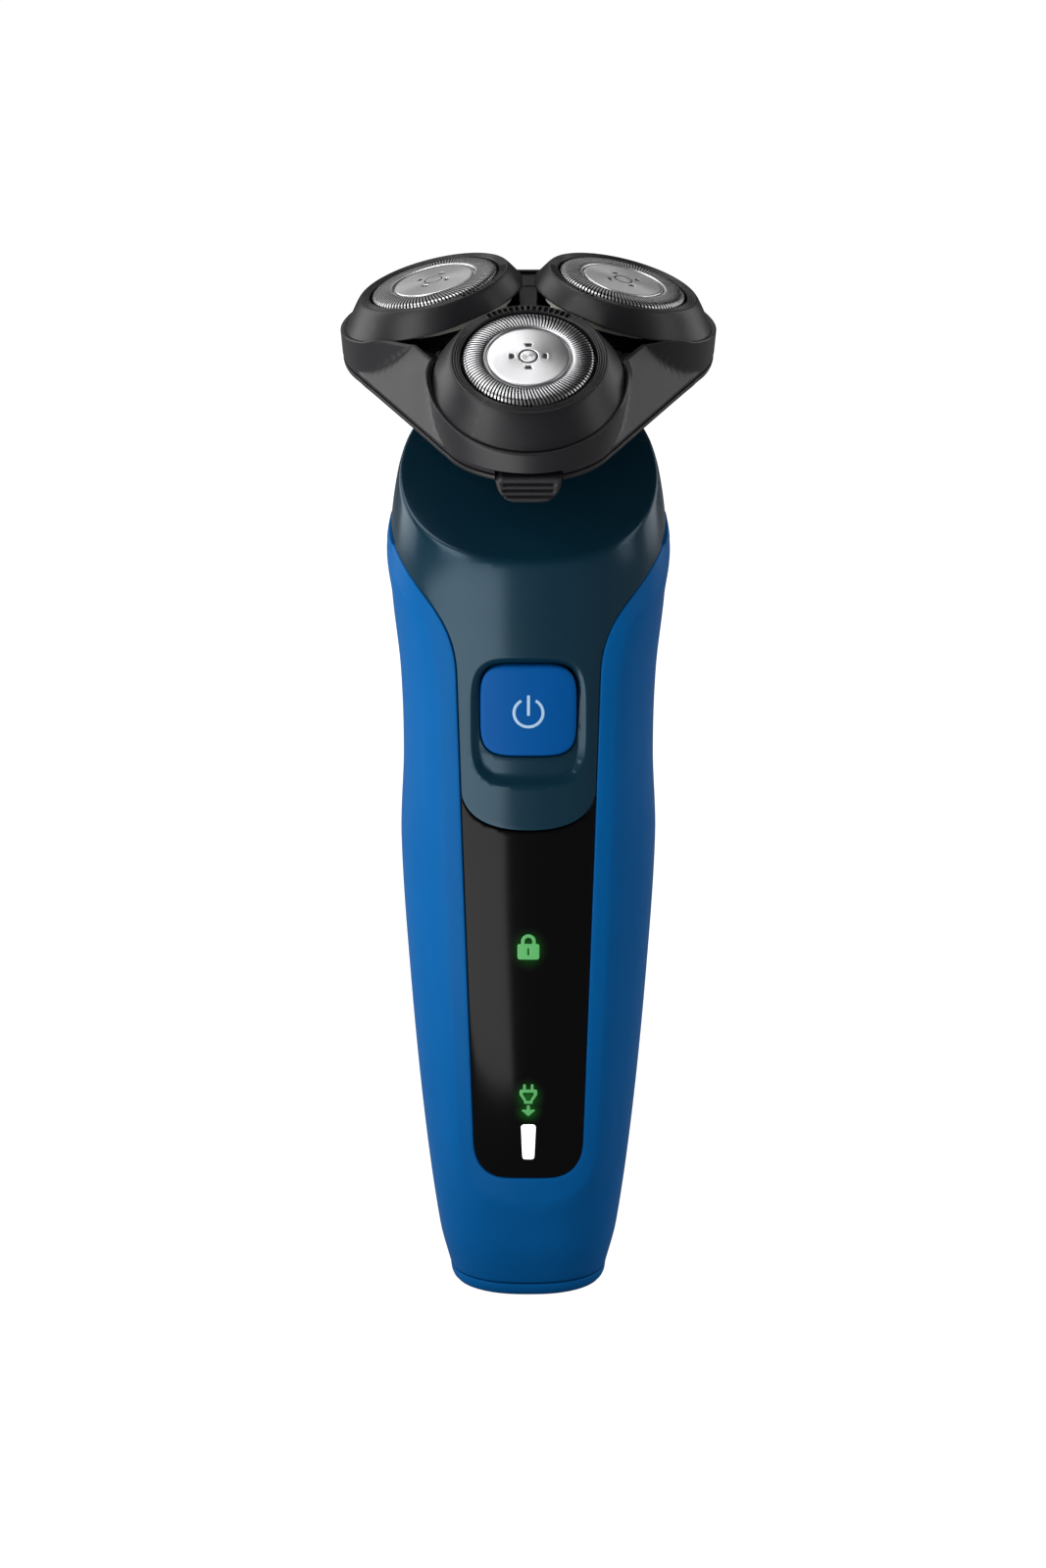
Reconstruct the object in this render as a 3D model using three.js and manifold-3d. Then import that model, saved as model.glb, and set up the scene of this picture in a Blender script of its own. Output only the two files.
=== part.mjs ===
// Rotary electric shaver: three flexing shaving heads on a battery handle.
// Millimetres. +Z runs up the handle, -Y is the front, the origin is the middle of the flat base.
import * as THREE from 'three'
import { mergeVertices } from 'three/addons/utils/BufferGeometryUtils.js'
import Module from 'manifold-3d'

const wasm = await Module()
wasm.setup()

// ---- Driving dimensions ----
const FIT = 0.3 // gap left between neighbouring pieces
const SEAM = 0.2 // gap along a visible joint line

// Handle: height, half width, depth to the front, depth to the back
const HANDLE = [
  [2.4, 13.4, 13.0, 13.0],
  [10, 15.3, 15.0, 14.9],
  [30, 17.9, 17.0, 16.6],
  [55, 20.1, 18.3, 17.8],
  [79, 21.45, 19.1, 18.4],
  [94, 20.95, 19.4, 18.6],
  [108, 21.35, 19.9, 19.0],
  [121, 22.7, 20.9, 19.4],
  [130, 22.95, 21.5, 19.4],
  [141, 21.6, 20.6, 18.4],
  [148, 19.3, 18.8, 16.6],
  [156, 15.5, 15.5, 13.0],
]
const SQUARENESS = 2.35 // 2 is an ellipse, more is squarer
const WALL = 3.1
const SKIN = 1.6 // thickness of the panels let into the front
const SPLIT_Y = 2 // plane where the front and rear housings meet
const BASE_TOP = 2.2

// Sloping top of the handle: starts at the front crease and rises to the back
const CREASE = { y: -21.5, z: 129.9, slope: 0.68 }
const TOP_THICK = 2.2

// Head frame: the plane through the middles of the three guards, leaning forward
const HEAD_LEAN = 19
const HEAD_AT = [0, -5, 168.8]
const HEAD_RADIUS = 17.95
const RING_TILT = 15.5
const SEAT_W = -22.4 // where the handle stops, measured along the head axis
const NECK_R = 9.5
const NECK_TOP = -18.5

// Drive: one sun gear turns three planet gears, one under each cutter
const MODULE = 1
const SUN_TEETH = 12
const PLANET_TEETH = 20
const GEAR_RADIUS = (MODULE * (SUN_TEETH + PLANET_TEETH)) / 2
const GEAR_W = -16.3
const GEAR_THICK = 2
const FLEX_DEPTH = (HEAD_RADIUS - GEAR_RADIUS) / Math.sin(rad(RING_TILT))
const MOTOR_JOINT_W = -30 // ball joint between the motor and the leaning drive shaft

// Power button and display
const BUTTON = { z: 104.6, width: 15.9, height: 15.2, corner: 5 }
const RECESS = { low: 92.1, high: 113.6, width: 18.8, corner: 6.5, depth: 0.8 }
const WINDOW = { low: 22.9, high: 95, bottom: 9.0, top: 11.25, corner: 5.5 }
const UPPER_PANEL_LOW = 84.3

function rad(degrees) {
  return (degrees * Math.PI) / 180
}

// ---- Shape helpers ----
function solid(geometry) {
  let g = geometry.clone()
  g.deleteAttribute('normal')
  g.deleteAttribute('uv')
  g = mergeVertices(g, 1e-4)
  const mesh = new wasm.Mesh({
    numProp: 3,
    vertProperties: new Float32Array(g.attributes.position.array),
    triVerts: new Uint32Array(g.index.array),
  })
  mesh.merge()
  return new wasm.Manifold(mesh)
}

function toGeometry(body) {
  const mesh = body.getMesh()
  const g = new THREE.BufferGeometry()
  g.setAttribute('position', new THREE.BufferAttribute(new Float32Array(mesh.vertProperties), 3))
  g.setIndex(new THREE.BufferAttribute(new Uint32Array(mesh.triVerts), 1))
  g.computeVertexNormals()
  return g
}

// Skins a row of loops that all have the same number of points. A closed row joins its last loop
// to its first, an open one is capped at both ends.
function loft(loops, closed = false) {
  const n = loops[0].length
  const points = loops.flat()
  const faces = []
  const rows = closed ? loops.length : loops.length - 1
  for (let j = 0; j < rows; j++) {
    const next = (j + 1) % loops.length
    for (let i = 0; i < n; i++) {
      const k = (i + 1) % n
      faces.push(j * n + i, j * n + k, next * n + k)
      faces.push(j * n + i, next * n + k, next * n + i)
    }
  }
  if (!closed) {
    for (const [j, turn] of [[0, 1], [loops.length - 1, -1]]) {
      const middle = new THREE.Vector3()
      for (const p of loops[j]) middle.addScaledVector(p, 1 / n)
      points.push(middle)
      const c = points.length - 1
      for (let i = 0; i < n; i++) {
        const k = (i + 1) % n
        faces.push(c, j * n + (turn > 0 ? k : i), j * n + (turn > 0 ? i : k))
      }
    }
  }
  let volume = 0
  for (let i = 0; i < faces.length; i += 3) {
    const [a, b, c] = [points[faces[i]], points[faces[i + 1]], points[faces[i + 2]]]
    volume += a.dot(new THREE.Vector3().crossVectors(b, c))
  }
  if (volume < 0) faces.reverse()
  const g = new THREE.BufferGeometry().setFromPoints(points)
  g.setIndex(faces)
  return solid(g)
}

// A ring around the Z axis: profile(angle) gives the closed cross-section [radius, height]
function ringSolid(profile, segments) {
  const angles = Array.from({ length: segments }, (_, i) => (2 * Math.PI * i) / segments)
  const sections = angles.map(profile)
  const loops = sections[0].map((_, j) =>
    angles.map((a, i) => {
      const [r, z] = sections[i][j]
      return new THREE.Vector3(r * Math.cos(a), r * Math.sin(a), z)
    }),
  )
  return loft(loops, true)
}

// Turned piece; the profile [radius, height] starts and ends on the axis or closes on itself
function turned(profile, segments = 24) {
  const points = profile.map(([r, z]) => new THREE.Vector2(r, z))
  const g = new THREE.LatheGeometry(points, segments)
  g.rotateX(Math.PI / 2)
  const body = solid(g)
  if (body.volume() > 0) return body
  g.index.array.reverse()
  return solid(g)
}

function disc(radius, low, high, segments = 24) {
  return turned([[0, low], [radius, low], [radius, high], [0, high]], segments)
}

function tube(inner, outer, low, high, segments = 24) {
  return turned([[inner, low], [outer, low], [outer, high], [inner, high], [inner, low]], segments)
}

function box(x, y, z) {
  const g = new THREE.BoxGeometry(x[1] - x[0], y[1] - y[0], z[1] - z[0])
  g.translate((x[0] + x[1]) / 2, (y[0] + y[1]) / 2, (z[0] + z[1]) / 2)
  return solid(g)
}

// A flat outline raised from low to high along Z
function prism(shape, low, high, curveSteps = 6) {
  const g = new THREE.ExtrudeGeometry(shape, {
    depth: high - low, bevelEnabled: false, curveSegments: curveSteps,
  })
  g.translate(0, 0, low)
  return solid(g)
}

// An outline drawn in X and Z, raised along Y from the front face at y0 to y1
function frontPrism(shape, y0, y1, curveSteps = 6) {
  return prism(shape, -y1, -y0, curveSteps).rotate([90, 0, 0])
}

function along(body, rotateDegrees, move = [0, 0, 0]) {
  return body.rotate(rotateDegrees).translate(move)
}

function roundedShape(width, low, high, corner) {
  const w = width / 2
  const s = new THREE.Shape()
  s.moveTo(-w + corner, low)
  s.lineTo(w - corner, low)
  s.quadraticCurveTo(w, low, w, low + corner)
  s.lineTo(w, high - corner)
  s.quadraticCurveTo(w, high, w - corner, high)
  s.lineTo(-w + corner, high)
  s.quadraticCurveTo(-w, high, -w, high - corner)
  s.lineTo(-w, low + corner)
  s.quadraticCurveTo(-w, low, -w + corner, low)
  return s
}

// ---- Group and materials ----
const group = new THREE.Group()
group.name = 'rotary_shaver'

function finish(color, roughness, metalness = 0) {
  return { color, roughness, metalness }
}
const BLUE = finish(0x0d5fb0, 0.4)
const PETROL = finish(0x143f58, 0.3)
const WINDOW_BLACK = finish(0x0a0a0c, 0.12)
const GRIP = finish(0x14202c, 0.8)
const CHARCOAL = finish(0x3c3c3e, 0.5)
const DARK_PLASTIC = finish(0x26272a, 0.6)
const STEEL = finish(0xc9ccd0, 0.3, 1)
const BRASS = finish(0xb9924a, 0.35, 1)
const BOARD = finish(0x1f5a34, 0.6)
const NATURAL = finish(0xd9d6cc, 0.55)
const RUBBER = finish(0x1a1a1a, 0.9)
const GREEN = finish(0x55d06a, 0.4)
const WHITE = finish(0xf4f6f8, 0.4)
const CELL = finish(0x2f6fa8, 0.45)

function add(name, body, look) {
  const material = new THREE.MeshStandardMaterial(look)
  const mesh = new THREE.Mesh(toGeometry(body), material)
  mesh.name = name
  group.add(mesh)
}

// ---- Handle envelope ----
// Smooth curve through the stations of one HANDLE column
function station(z, column) {
  const last = HANDLE.length - 1
  let i = 0
  while (i < last - 1 && HANDLE[i + 1][0] < z) i++
  const slope = (k) => {
    const a = HANDLE[Math.max(k - 1, 0)]
    const b = HANDLE[Math.min(k + 1, last)]
    return (b[column] - a[column]) / (b[0] - a[0])
  }
  const [p, q] = [HANDLE[i], HANDLE[i + 1]]
  const span = q[0] - p[0]
  const t = (z - p[0]) / span
  const [t2, t3] = [t * t, t * t * t]
  return (
    (2 * t3 - 3 * t2 + 1) * p[column] + (t3 - 2 * t2 + t) * span * slope(i) +
    (3 * t2 - 2 * t3) * q[column] + (t3 - t2) * span * slope(i + 1)
  )
}

const AROUND = 36
function handleLoop(z, inset) {
  const a = station(z, 1) - inset
  const front = station(z, 2) - inset
  const back = station(z, 3) - inset
  const power = 2 / SQUARENESS
  return Array.from({ length: AROUND }, (_, i) => {
    const t = (2 * Math.PI * (i + 0.5)) / AROUND
    const [c, s] = [Math.cos(t), Math.sin(t)]
    const x = a * Math.sign(c) * Math.abs(c) ** power
    const y = (s > 0 ? back : front) * Math.sign(s) * Math.abs(s) ** power
    return new THREE.Vector3(x, y, z)
  })
}

const LEVELS = [12, 30, 55, 75, 92, 106, 116, 124, 131, 139, 147]
function envelope(inset, low = BASE_TOP + SEAM, high = 156) {
  const levels = [low, ...LEVELS.filter((z) => z > low && z < high), high]
  return loft(levels.map((z) => handleLoop(z, inset)))
}

// Everything above the sloping top, lowered by drop. Two slopes meet at the neck seat.
function aboveTop(drop) {
  const lean = Math.tan(rad(HEAD_LEAN))
  const head = Math.cos(rad(HEAD_LEAN))
  const seatZ = (y) => HEAD_AT[2] + SEAT_W / head + (y - HEAD_AT[1]) * lean
  const frontZ = (y) => CREASE.z + CREASE.slope * (y - CREASE.y)
  const meet = (frontZ(0) - seatZ(0)) / (lean - CREASE.slope)
  const s = new THREE.Shape()
  s.moveTo(-60, frontZ(-60) - drop)
  s.lineTo(meet, frontZ(meet) - drop)
  s.lineTo(60, seatZ(60) - drop)
  s.lineTo(60, 300)
  s.lineTo(-60, 300)
  return prism(s, -40, 40).rotate([90, 0, 90])
}

const outer = envelope(0)
const underSkin = envelope(SKIN)
const pocketFloor = envelope(SKIN + FIT)
const inner = envelope(WALL, BASE_TOP)
const frontHalf = box([-40, 40], [-60, SPLIT_Y], [-10, 200])
const rearHalf = box([-40, 40], [SPLIT_Y + SEAM, 60], [-10, 200])

// ---- Panels let into the front ----
// Outline of the upper panel: rounded below, flaring to both shoulders. grow widens it all round.
function upperPanelShape(grow) {
  const low = UPPER_PANEL_LOW - grow
  const s = new THREE.Shape()
  s.moveTo(0, low)
  s.quadraticCurveTo(9.9 + grow, low, 11.1 + grow, 90)
  s.lineTo(11.7 + grow, 110)
  s.bezierCurveTo(11.9 + grow, 119.5 - grow, 17 + grow, 122.4 - grow, 20 + grow, 126.8 - grow)
  s.quadraticCurveTo(22.5 + grow, 130 - grow, 26, 133 - grow)
  s.lineTo(26, 160)
  s.lineTo(-26, 160)
  s.lineTo(-26, 133 - grow)
  s.quadraticCurveTo(-22.5 - grow, 130 - grow, -20 - grow, 126.8 - grow)
  s.bezierCurveTo(-17 - grow, 122.4 - grow, -11.9 - grow, 119.5 - grow, -11.7 - grow, 110)
  s.lineTo(-11.1 - grow, 90)
  s.quadraticCurveTo(-9.9 - grow, low, 0, low)
  return s
}

function windowShape(grow) {
  const { low, high, bottom, top, corner } = WINDOW
  const s = new THREE.Shape()
  s.moveTo(0, low - grow)
  s.lineTo(bottom - corner, low - grow)
  s.quadraticCurveTo(bottom + grow, low - grow, bottom + 0.15 + grow, low + corner)
  s.lineTo(top + grow, high)
  s.lineTo(-top - grow, high)
  s.lineTo(-bottom - 0.15 - grow, low + corner)
  s.quadraticCurveTo(-bottom - grow, low - grow, -bottom + corner, low - grow)
  return s
}

const upperCut = (grow) => frontPrism(upperPanelShape(grow), -40, SPLIT_Y)
const windowCut = (grow) => frontPrism(windowShape(grow), -40, -4)
function squareCut(part, grow, y0, y1) {
  const low = part.low ?? part.z - part.height / 2
  const high = part.high ?? part.z + part.height / 2
  const shape = roundedShape(part.width + 2 * grow, low - grow, high + grow, part.corner + grow)
  return frontPrism(shape, y0, y1)
}

// The neck hole leans with the head
function headToWorld(body) {
  return body.rotate([HEAD_LEAN, 0, 0]).translate(HEAD_AT)
}
const neckHole = headToWorld(disc(NECK_R + FIT, -60, 0, 32))

const upperSkin = outer.subtract(underSkin).intersect(upperCut(0)).subtract(aboveTop(0))
const topPlate = outer.subtract(aboveTop(0)).intersect(aboveTop(TOP_THICK)).subtract(neckHole)
const buttonHole = squareCut(BUTTON, 0.35, -40, 0)
const recess = squareCut(RECESS, 0, -40, 0).subtract(envelope(RECESS.depth))
add('upper_panel', upperSkin.add(topPlate).subtract(buttonHole).subtract(recess), PETROL)

const pocket = upperCut(SEAM).add(windowCut(SEAM)).subtract(pocketFloor)
const shell = outer.subtract(inner).subtract(aboveTop(TOP_THICK + FIT))
add(
  'front_housing',
  shell.intersect(frontHalf).subtract(pocket).subtract(squareCut(BUTTON, 0.7, -40, 0)),
  BLUE,
)
add('rear_housing', shell.intersect(rearHalf), GRIP)

// ---- Display window and its lights ----
const iconSkin = envelope(-0.02).subtract(envelope(0.35))
const iconPocket = (shape) => frontPrism(shape(0.12), -40, 0, 3).subtract(envelope(0.6))

function lockShape(grow) {
  const s = new THREE.Shape()
  s.moveTo(-1.85 - grow, 61.9 - grow)
  s.lineTo(1.85 + grow, 61.9 - grow)
  s.lineTo(1.85 + grow, 64.6 + grow)
  s.lineTo(1.3 + grow, 64.6 + grow)
  s.lineTo(1.3 + grow, 65.2)
  s.absarc(0, 65.2, 1.3 + grow, 0, Math.PI)
  s.lineTo(-1.3 - grow, 64.6 + grow)
  s.lineTo(-1.85 - grow, 64.6 + grow)
  return s
}

function plugShape(grow) {
  const s = new THREE.Shape()
  s.moveTo(-0.25 - grow, 36.4 - grow)
  s.lineTo(0.25 + grow, 36.4 - grow)
  s.lineTo(0.25 + grow, 37.3)
  s.quadraticCurveTo(1.5 + grow, 37.4, 1.5 + grow, 39)
  s.lineTo(0.95 + grow, 39)
  s.lineTo(0.95 + grow, 40 + grow)
  s.lineTo(0.5 - grow, 40 + grow)
  s.lineTo(0.5 - grow, 39 + grow)
  s.lineTo(-0.5 + grow, 39 + grow)
  s.lineTo(-0.5 + grow, 40 + grow)
  s.lineTo(-0.95 - grow, 40 + grow)
  s.lineTo(-0.95 - grow, 39)
  s.lineTo(-1.5 - grow, 39)
  s.quadraticCurveTo(-1.5 - grow, 37.4, -0.25 - grow, 37.3)
  return s
}

function arrowShape(grow) {
  const s = new THREE.Shape()
  s.moveTo(0, 34.15 - 1.4 * grow)
  s.lineTo(1.13 + 1.6 * grow, 35.15 + grow)
  s.lineTo(0.26 + grow, 35.25 + grow)
  s.lineTo(0.26 + grow, 36.05)
  s.lineTo(-0.26 - grow, 36.05)
  s.lineTo(-0.26 - grow, 35.25 + grow)
  s.lineTo(-1.13 - 1.6 * grow, 35.15 + grow)
  return s
}

const barShape = (grow) => roundedShape(2.5 + 2 * grow, 26.3 - grow, 32.65 + grow, 1)

const lights = {
  lock_light: [lockShape, GREEN],
  plug_light: [plugShape, GREEN],
  arrow_light: [arrowShape, GREEN],
  battery_light: [barShape, WHITE],
}
let window = outer.subtract(underSkin).intersect(windowCut(0)).subtract(upperCut(SEAM))
for (const [name, [shape, look]] of Object.entries(lights)) {
  window = window.subtract(iconPocket(shape))
  add(name, iconSkin.intersect(frontPrism(shape(0), -40, 0, 3)), look)
}
add('display_window', window, WINDOW_BLACK)

// ---- Power button ----
const BUTTON_DEPTH = 3
const STEM_END = -12.6
const buttonCap = envelope(-0.15).subtract(envelope(BUTTON_DEPTH)).intersect(
  squareCut(BUTTON, 0, -40, 0),
)
// Power mark: an open ring and a bar, let into the face of the button
const SYMBOL = { z: 104.4, r: 2.36, line: 0.24, gap: 30, barLow: 103.9, barHigh: 107.4 }
function symbolRing(grow) {
  const [from, to] = [rad(90 - SYMBOL.gap), rad(90 + SYMBOL.gap)]
  const s = new THREE.Shape()
  s.absarc(0, SYMBOL.z, SYMBOL.r + SYMBOL.line + grow, from, to, true)
  s.absarc(0, SYMBOL.z, SYMBOL.r - SYMBOL.line - grow, to, from, false)
  return frontPrism(s, -40, 0, 12)
}
function symbolBar(grow) {
  const width = 2 * (SYMBOL.line + grow)
  const shape = roundedShape(width, SYMBOL.barLow - grow, SYMBOL.barHigh + grow, 0.1)
  return frontPrism(shape, -40, 0, 2)
}
const symbolSkin = envelope(-0.2).subtract(envelope(0.3))
const symbolPocket = symbolRing(0.1).add(symbolBar(0.1)).subtract(envelope(0.45)).intersect(envelope(-1))
const stem = along(disc(1.5, 0, 4.5, 12), [90, 0, 0], [0, STEM_END, BUTTON.z])
add('power_button', buttonCap.add(stem).subtract(symbolPocket), BLUE)
add('power_symbol_ring', symbolSkin.intersect(symbolRing(0)), WHITE)
add('power_symbol_bar', symbolSkin.intersect(symbolBar(0)), WHITE)

// ---- Base with the charging inlet ----
const INLET = { width: 9.4, depth: 5.4, y: 5.6 } // in the rear half of the base
function baseLoop(z, inset) {
  return handleLoop(HANDLE[0][0], inset).map((p) => new THREE.Vector3(p.x, p.y, z))
}
const inletHole = prism(
  roundedShape(INLET.width, -INLET.depth / 2, INLET.depth / 2, 2.4), -1, 20, 4,
).translate([0, INLET.y, 0])
const base = loft([baseLoop(0, 1.2), baseLoop(0.35, 0.55), baseLoop(1.1, 0.1), baseLoop(BASE_TOP, 0)])
const baseLip = loft([baseLoop(BASE_TOP - 1, WALL + 0.9), baseLoop(4.4, WALL + 0.9)])
add('base_cap', base.add(baseLip).subtract(inletHole), BLUE)

const socketOuter = prism(roundedShape(12.4, -4.2, 4.2, 3.6), 4.8, 14.5, 4)
const socketMouth = prism(roundedShape(INLET.width - 0.6, -2.4, 2.4, 2.2), 0, 11.5, 4)
add('charging_socket', socketOuter.subtract(socketMouth).translate([0, INLET.y, 0]), DARK_PLASTIC)
for (const [side, x] of [['left', -2], ['right', 2]]) {
  add(`charging_pin_${side}`, disc(0.6, 5, 11.2, 12).translate([x, INLET.y, 0]), BRASS)
}

// ---- Inside the handle ----
const BOARD_Y = [-9.6, -8.4]
const BATTERY = { r: 7.1, low: 30, high: 80, y: 3.5 }
const MOTOR = { r: 10, low: 101, high: 131.4, y: 0 }
const jointAt = [0, HEAD_AT[1] - MOTOR_JOINT_W * Math.sin(rad(HEAD_LEAN)),
  HEAD_AT[2] + MOTOR_JOINT_W * Math.cos(rad(HEAD_LEAN))]
MOTOR.y = jointAt[1]

add('circuit_board', box([-8.6, 8.6], BOARD_Y, [24, 118]), BOARD)
add(
  'switch_dome',
  along(turned([[0, 0], [3, 0], [3, 1], [2, 1.9], [0, 1.9]], 16), [90, 0, 0],
    [0, BOARD_Y[0] - 0.05, BUTTON.z]),
  STEEL,
)
const cell = turned([
  [0, 0], [BATTERY.r, 0], [BATTERY.r, 48.5], [BATTERY.r - 1, 49.2], [2.6, 49.2], [2.6, 50], [0, 50],
], 28)
add('battery', cell.translate([0, BATTERY.y, BATTERY.low]), CELL)
for (const [end, z] of [['lower', BATTERY.low - 0.7], ['upper', BATTERY.high + 0.2]]) {
  const tab = box([-3, 3], [BOARD_Y[1] + 0.2, BATTERY.y + 3], [z, z + 0.45])
  add(`battery_tab_${end}`, tab, STEEL)
}
const cradleRoom = disc(BATTERY.r + FIT, 0, 200, 28).translate([0, BATTERY.y, 0])
let chassis = box([-9, 9], [-7.6, -5.4], [26, 98])
for (const z of [36, 56, 74]) chassis = chassis.add(box([-9, 9], [-7, 3.5], [z, z + 2.4]))
const tabRoom = box([-3.4, 3.4], [-9, 8], [28.4, 31]).add(box([-3.4, 3.4], [-9, 8], [79, 82]))
add('chassis', chassis.subtract(cradleRoom).subtract(tabRoom), NATURAL)

add(
  'motor',
  turned([
    [0, MOTOR.low - 1.5], [3, MOTOR.low - 1.5], [3, MOTOR.low], [MOTOR.r, MOTOR.low],
    [MOTOR.r, MOTOR.high], [0, MOTOR.high],
  ], 28).translate([0, MOTOR.y, 0]),
  STEEL,
)
const mount = disc(10.8, MOTOR.high + 0.3, MOTOR.high + 1.7, 28)
const screwSpots = [-6.5, 6.5]
let mountPlate = mount.subtract(disc(3, 100, 200, 20))
for (const x of screwSpots) {
  mountPlate = mountPlate.subtract(disc(1.2, 100, 200, 12).translate([x, 0, 0]))
}
add('motor_mount', mountPlate.translate([0, MOTOR.y, 0]), DARK_PLASTIC)
for (const [side, x] of [['left', screwSpots[0]], ['right', screwSpots[1]]]) {
  const top = MOTOR.high + 2
  const screw = turned([
    [0, top - 1.8], [0.9, top - 1.8], [0.9, top], [1.9, top], [1.7, top + 0.9], [0, top + 0.9],
  ], 12)
  add(`mount_screw_${side}`, screw.translate([x, MOTOR.y, 0]), STEEL)
}

// Motor shaft ending in a slotted cup; the drive shaft's ball and cross pin sit in it and may lean
const BALL_R = 2.3
const CUP_R = 4
const jointZ = jointAt[2]
const shaftLow = MOTOR.high + 0.3
let cup = turned([
  [0, shaftLow], [1.2, shaftLow], [1.2, jointZ - 4.2], [CUP_R, jointZ - 4.2], [CUP_R, jointZ + 1.8],
  [2.9, jointZ + 1.8], [2.9, jointZ - 1.2], [2, jointZ - 3], [0, jointZ - 3],
], 24)
cup = cup.subtract(box([-6, 6], [-1.1, 1.1], [jointZ - 1.9, jointZ + 4]))
add('motor_shaft', cup.translate([0, MOTOR.y, 0]), STEEL)

const ball = turned([
  [0, -BALL_R], [1.15, -1.99], [1.99, -1.15], [BALL_R, 0], [1.99, 1.15], [1.5, 1.75],
  [1.5, 12.9], [1.15, 13.2], [1.15, 16.2], [0, 16.2],
], 16)
const crossPin = along(disc(0.7, -3.7, 3.7, 10), [0, 90, 0])
add('drive_shaft', headToWorld(ball.add(crossPin).translate([0, 0, MOTOR_JOINT_W])), STEEL)

// Neck: the tube the shaving unit clicks onto, with a shaft seal in its end wall
const neck = turned([
  [NECK_R - 1.6, -31], [NECK_R, -31], [NECK_R, NECK_TOP - 0.6], [NECK_R - 0.6, NECK_TOP],
  [4.3, NECK_TOP], [4.3, NECK_TOP - 1.6], [NECK_R - 1.6, NECK_TOP - 1.6], [NECK_R - 1.6, -31],
], 28)
add('neck', headToWorld(neck), DARK_PLASTIC)
add('shaft_seal', headToWorld(tube(1.9, 4.0, NECK_TOP - 1.5, NECK_TOP - 0.1, 20)), RUBBER)

// ---- Shaving unit ----
// Radius of the rounded triangle around the head axis. Angle 0 is the front head.
const RIM = { low: -14, circle: [18.8, 14.6], side: 24.0 }
const TOP = { high: -3.2, circle: [17.1, 16.6], side: 20.1 }
// Angle from the nearest of the three heads
function foldAngle(angle) {
  const third = (2 * Math.PI) / 3
  return Math.abs((((angle % third) + third * 1.5) % third) - third / 2)
}

function housingRadius(angle, w) {
  const psi = foldAngle(angle)
  const share = Math.min(1, Math.max(0, (w - RIM.low) / (TOP.high - RIM.low)))
  const mix = (a, b) => a + (b - a) * share
  const c = mix(RIM.circle[0], TOP.circle[0])
  const r = mix(RIM.circle[1], TOP.circle[1])
  const side = mix(RIM.side, TOP.side)
  const cup = c * Math.cos(psi) + Math.sqrt(Math.max(0, r * r - (c * Math.sin(psi)) ** 2))
  const turn = Math.PI / 3 - Math.atan((c * Math.sin(Math.PI / 3)) / side)
  if (psi < turn) return cup
  const flat = side / Math.cos(Math.PI / 3 - psi)
  return Math.max(cup, flat)
}

// Lower edge of a ring's skirt, at an angle from its outward direction: radius and depth
const SKIRT = { r: 15.3, shift: 1.0, depth: 4.2, rise: 0.8, clear: 1.0, seam: 0.4 }
function skirt(phi, depth = SKIRT.depth + SKIRT.rise * Math.cos(phi)) {
  const across = SKIRT.r + SKIRT.shift * Math.cos(phi)
  const half = Math.sin(Math.PI / 3)
  const room = (HEAD_RADIUS - depth * Math.sin(rad(RING_TILT))) * half - SKIRT.clear
  const pull = Math.abs(Math.sin(phi)) * 0.5 - Math.cos(phi) * Math.cos(rad(RING_TILT)) * half
  return { r: pull > 0 ? Math.min(across, room / pull) : across, depth }
}

// Height of the housing's top edge around the head axis: follows the skirts, high between them
function topEdge(angle) {
  const [lean, level] = [Math.sin(rad(RING_TILT)), Math.cos(rad(RING_TILT))]
  for (let i = 0; i <= 60; i++) {
    const phi = rad(i * 2)
    const { r, depth } = skirt(phi)
    const outward = r * Math.cos(phi)
    const fromAxis = HEAD_RADIUS + outward * level - depth * lean
    if (Math.atan2(r * Math.sin(phi), fromAxis) > foldAngle(angle)) {
      return Math.min(-outward * lean - depth * level + SKIRT.seam, TOP.high)
    }
  }
  return TOP.high
}

// Head-frame angles start at the front, so turn them onto -Y
function unitToWorld(body) {
  return headToWorld(body.rotate([0, 0, -90]))
}

const HOLDER_LOW = -13.2
const CHAMBER_TOP = -13.5
const RIM_SEGMENTS = 48
const HOLDER_WALL = 0.9
function holderProfile(angle) {
  const high = topEdge(angle)
  const heights = [high, (high + HOLDER_LOW) / 2, HOLDER_LOW + 1.6, HOLDER_LOW]
  const out = heights.map((w) => [housingRadius(angle, w), w])
  const thick = [HOLDER_WALL, 1.1, 1.5, 1.5]
  const back = heights.map((w, i) => [housingRadius(angle, w) - thick[i], w]).reverse()
  return [...out, ...back]
}
let holder = ringSolid(holderProfile, RIM_SEGMENTS)

// Room for one ring to rock in: its skirt, grown by the seam and by the flex below it
const ROCK_DROP = 1.9
function skirtLoop(height) {
  return Array.from({ length: 36 }, (_, i) => {
    const phi = (2 * Math.PI * i) / 36
    const { r, depth } = skirt(phi)
    const reach = r + SKIRT.seam
    const z = height ?? -depth - ROCK_DROP
    return new THREE.Vector3(reach * Math.cos(phi), reach * Math.sin(phi), z)
  })
}
const rockRoom = loft([skirtLoop(), skirtLoop(6)])

// Gimbal bosses: short tubes from the holder wall to the flex ring of each head
const BOSS = { r: 1.7, bore: 1.05, from: 10.3, to: 16.1 }
const PIN = { r: 0.65, from: 9.2, to: 11.6 }
const headAngles = [0, 120, 240]
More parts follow.
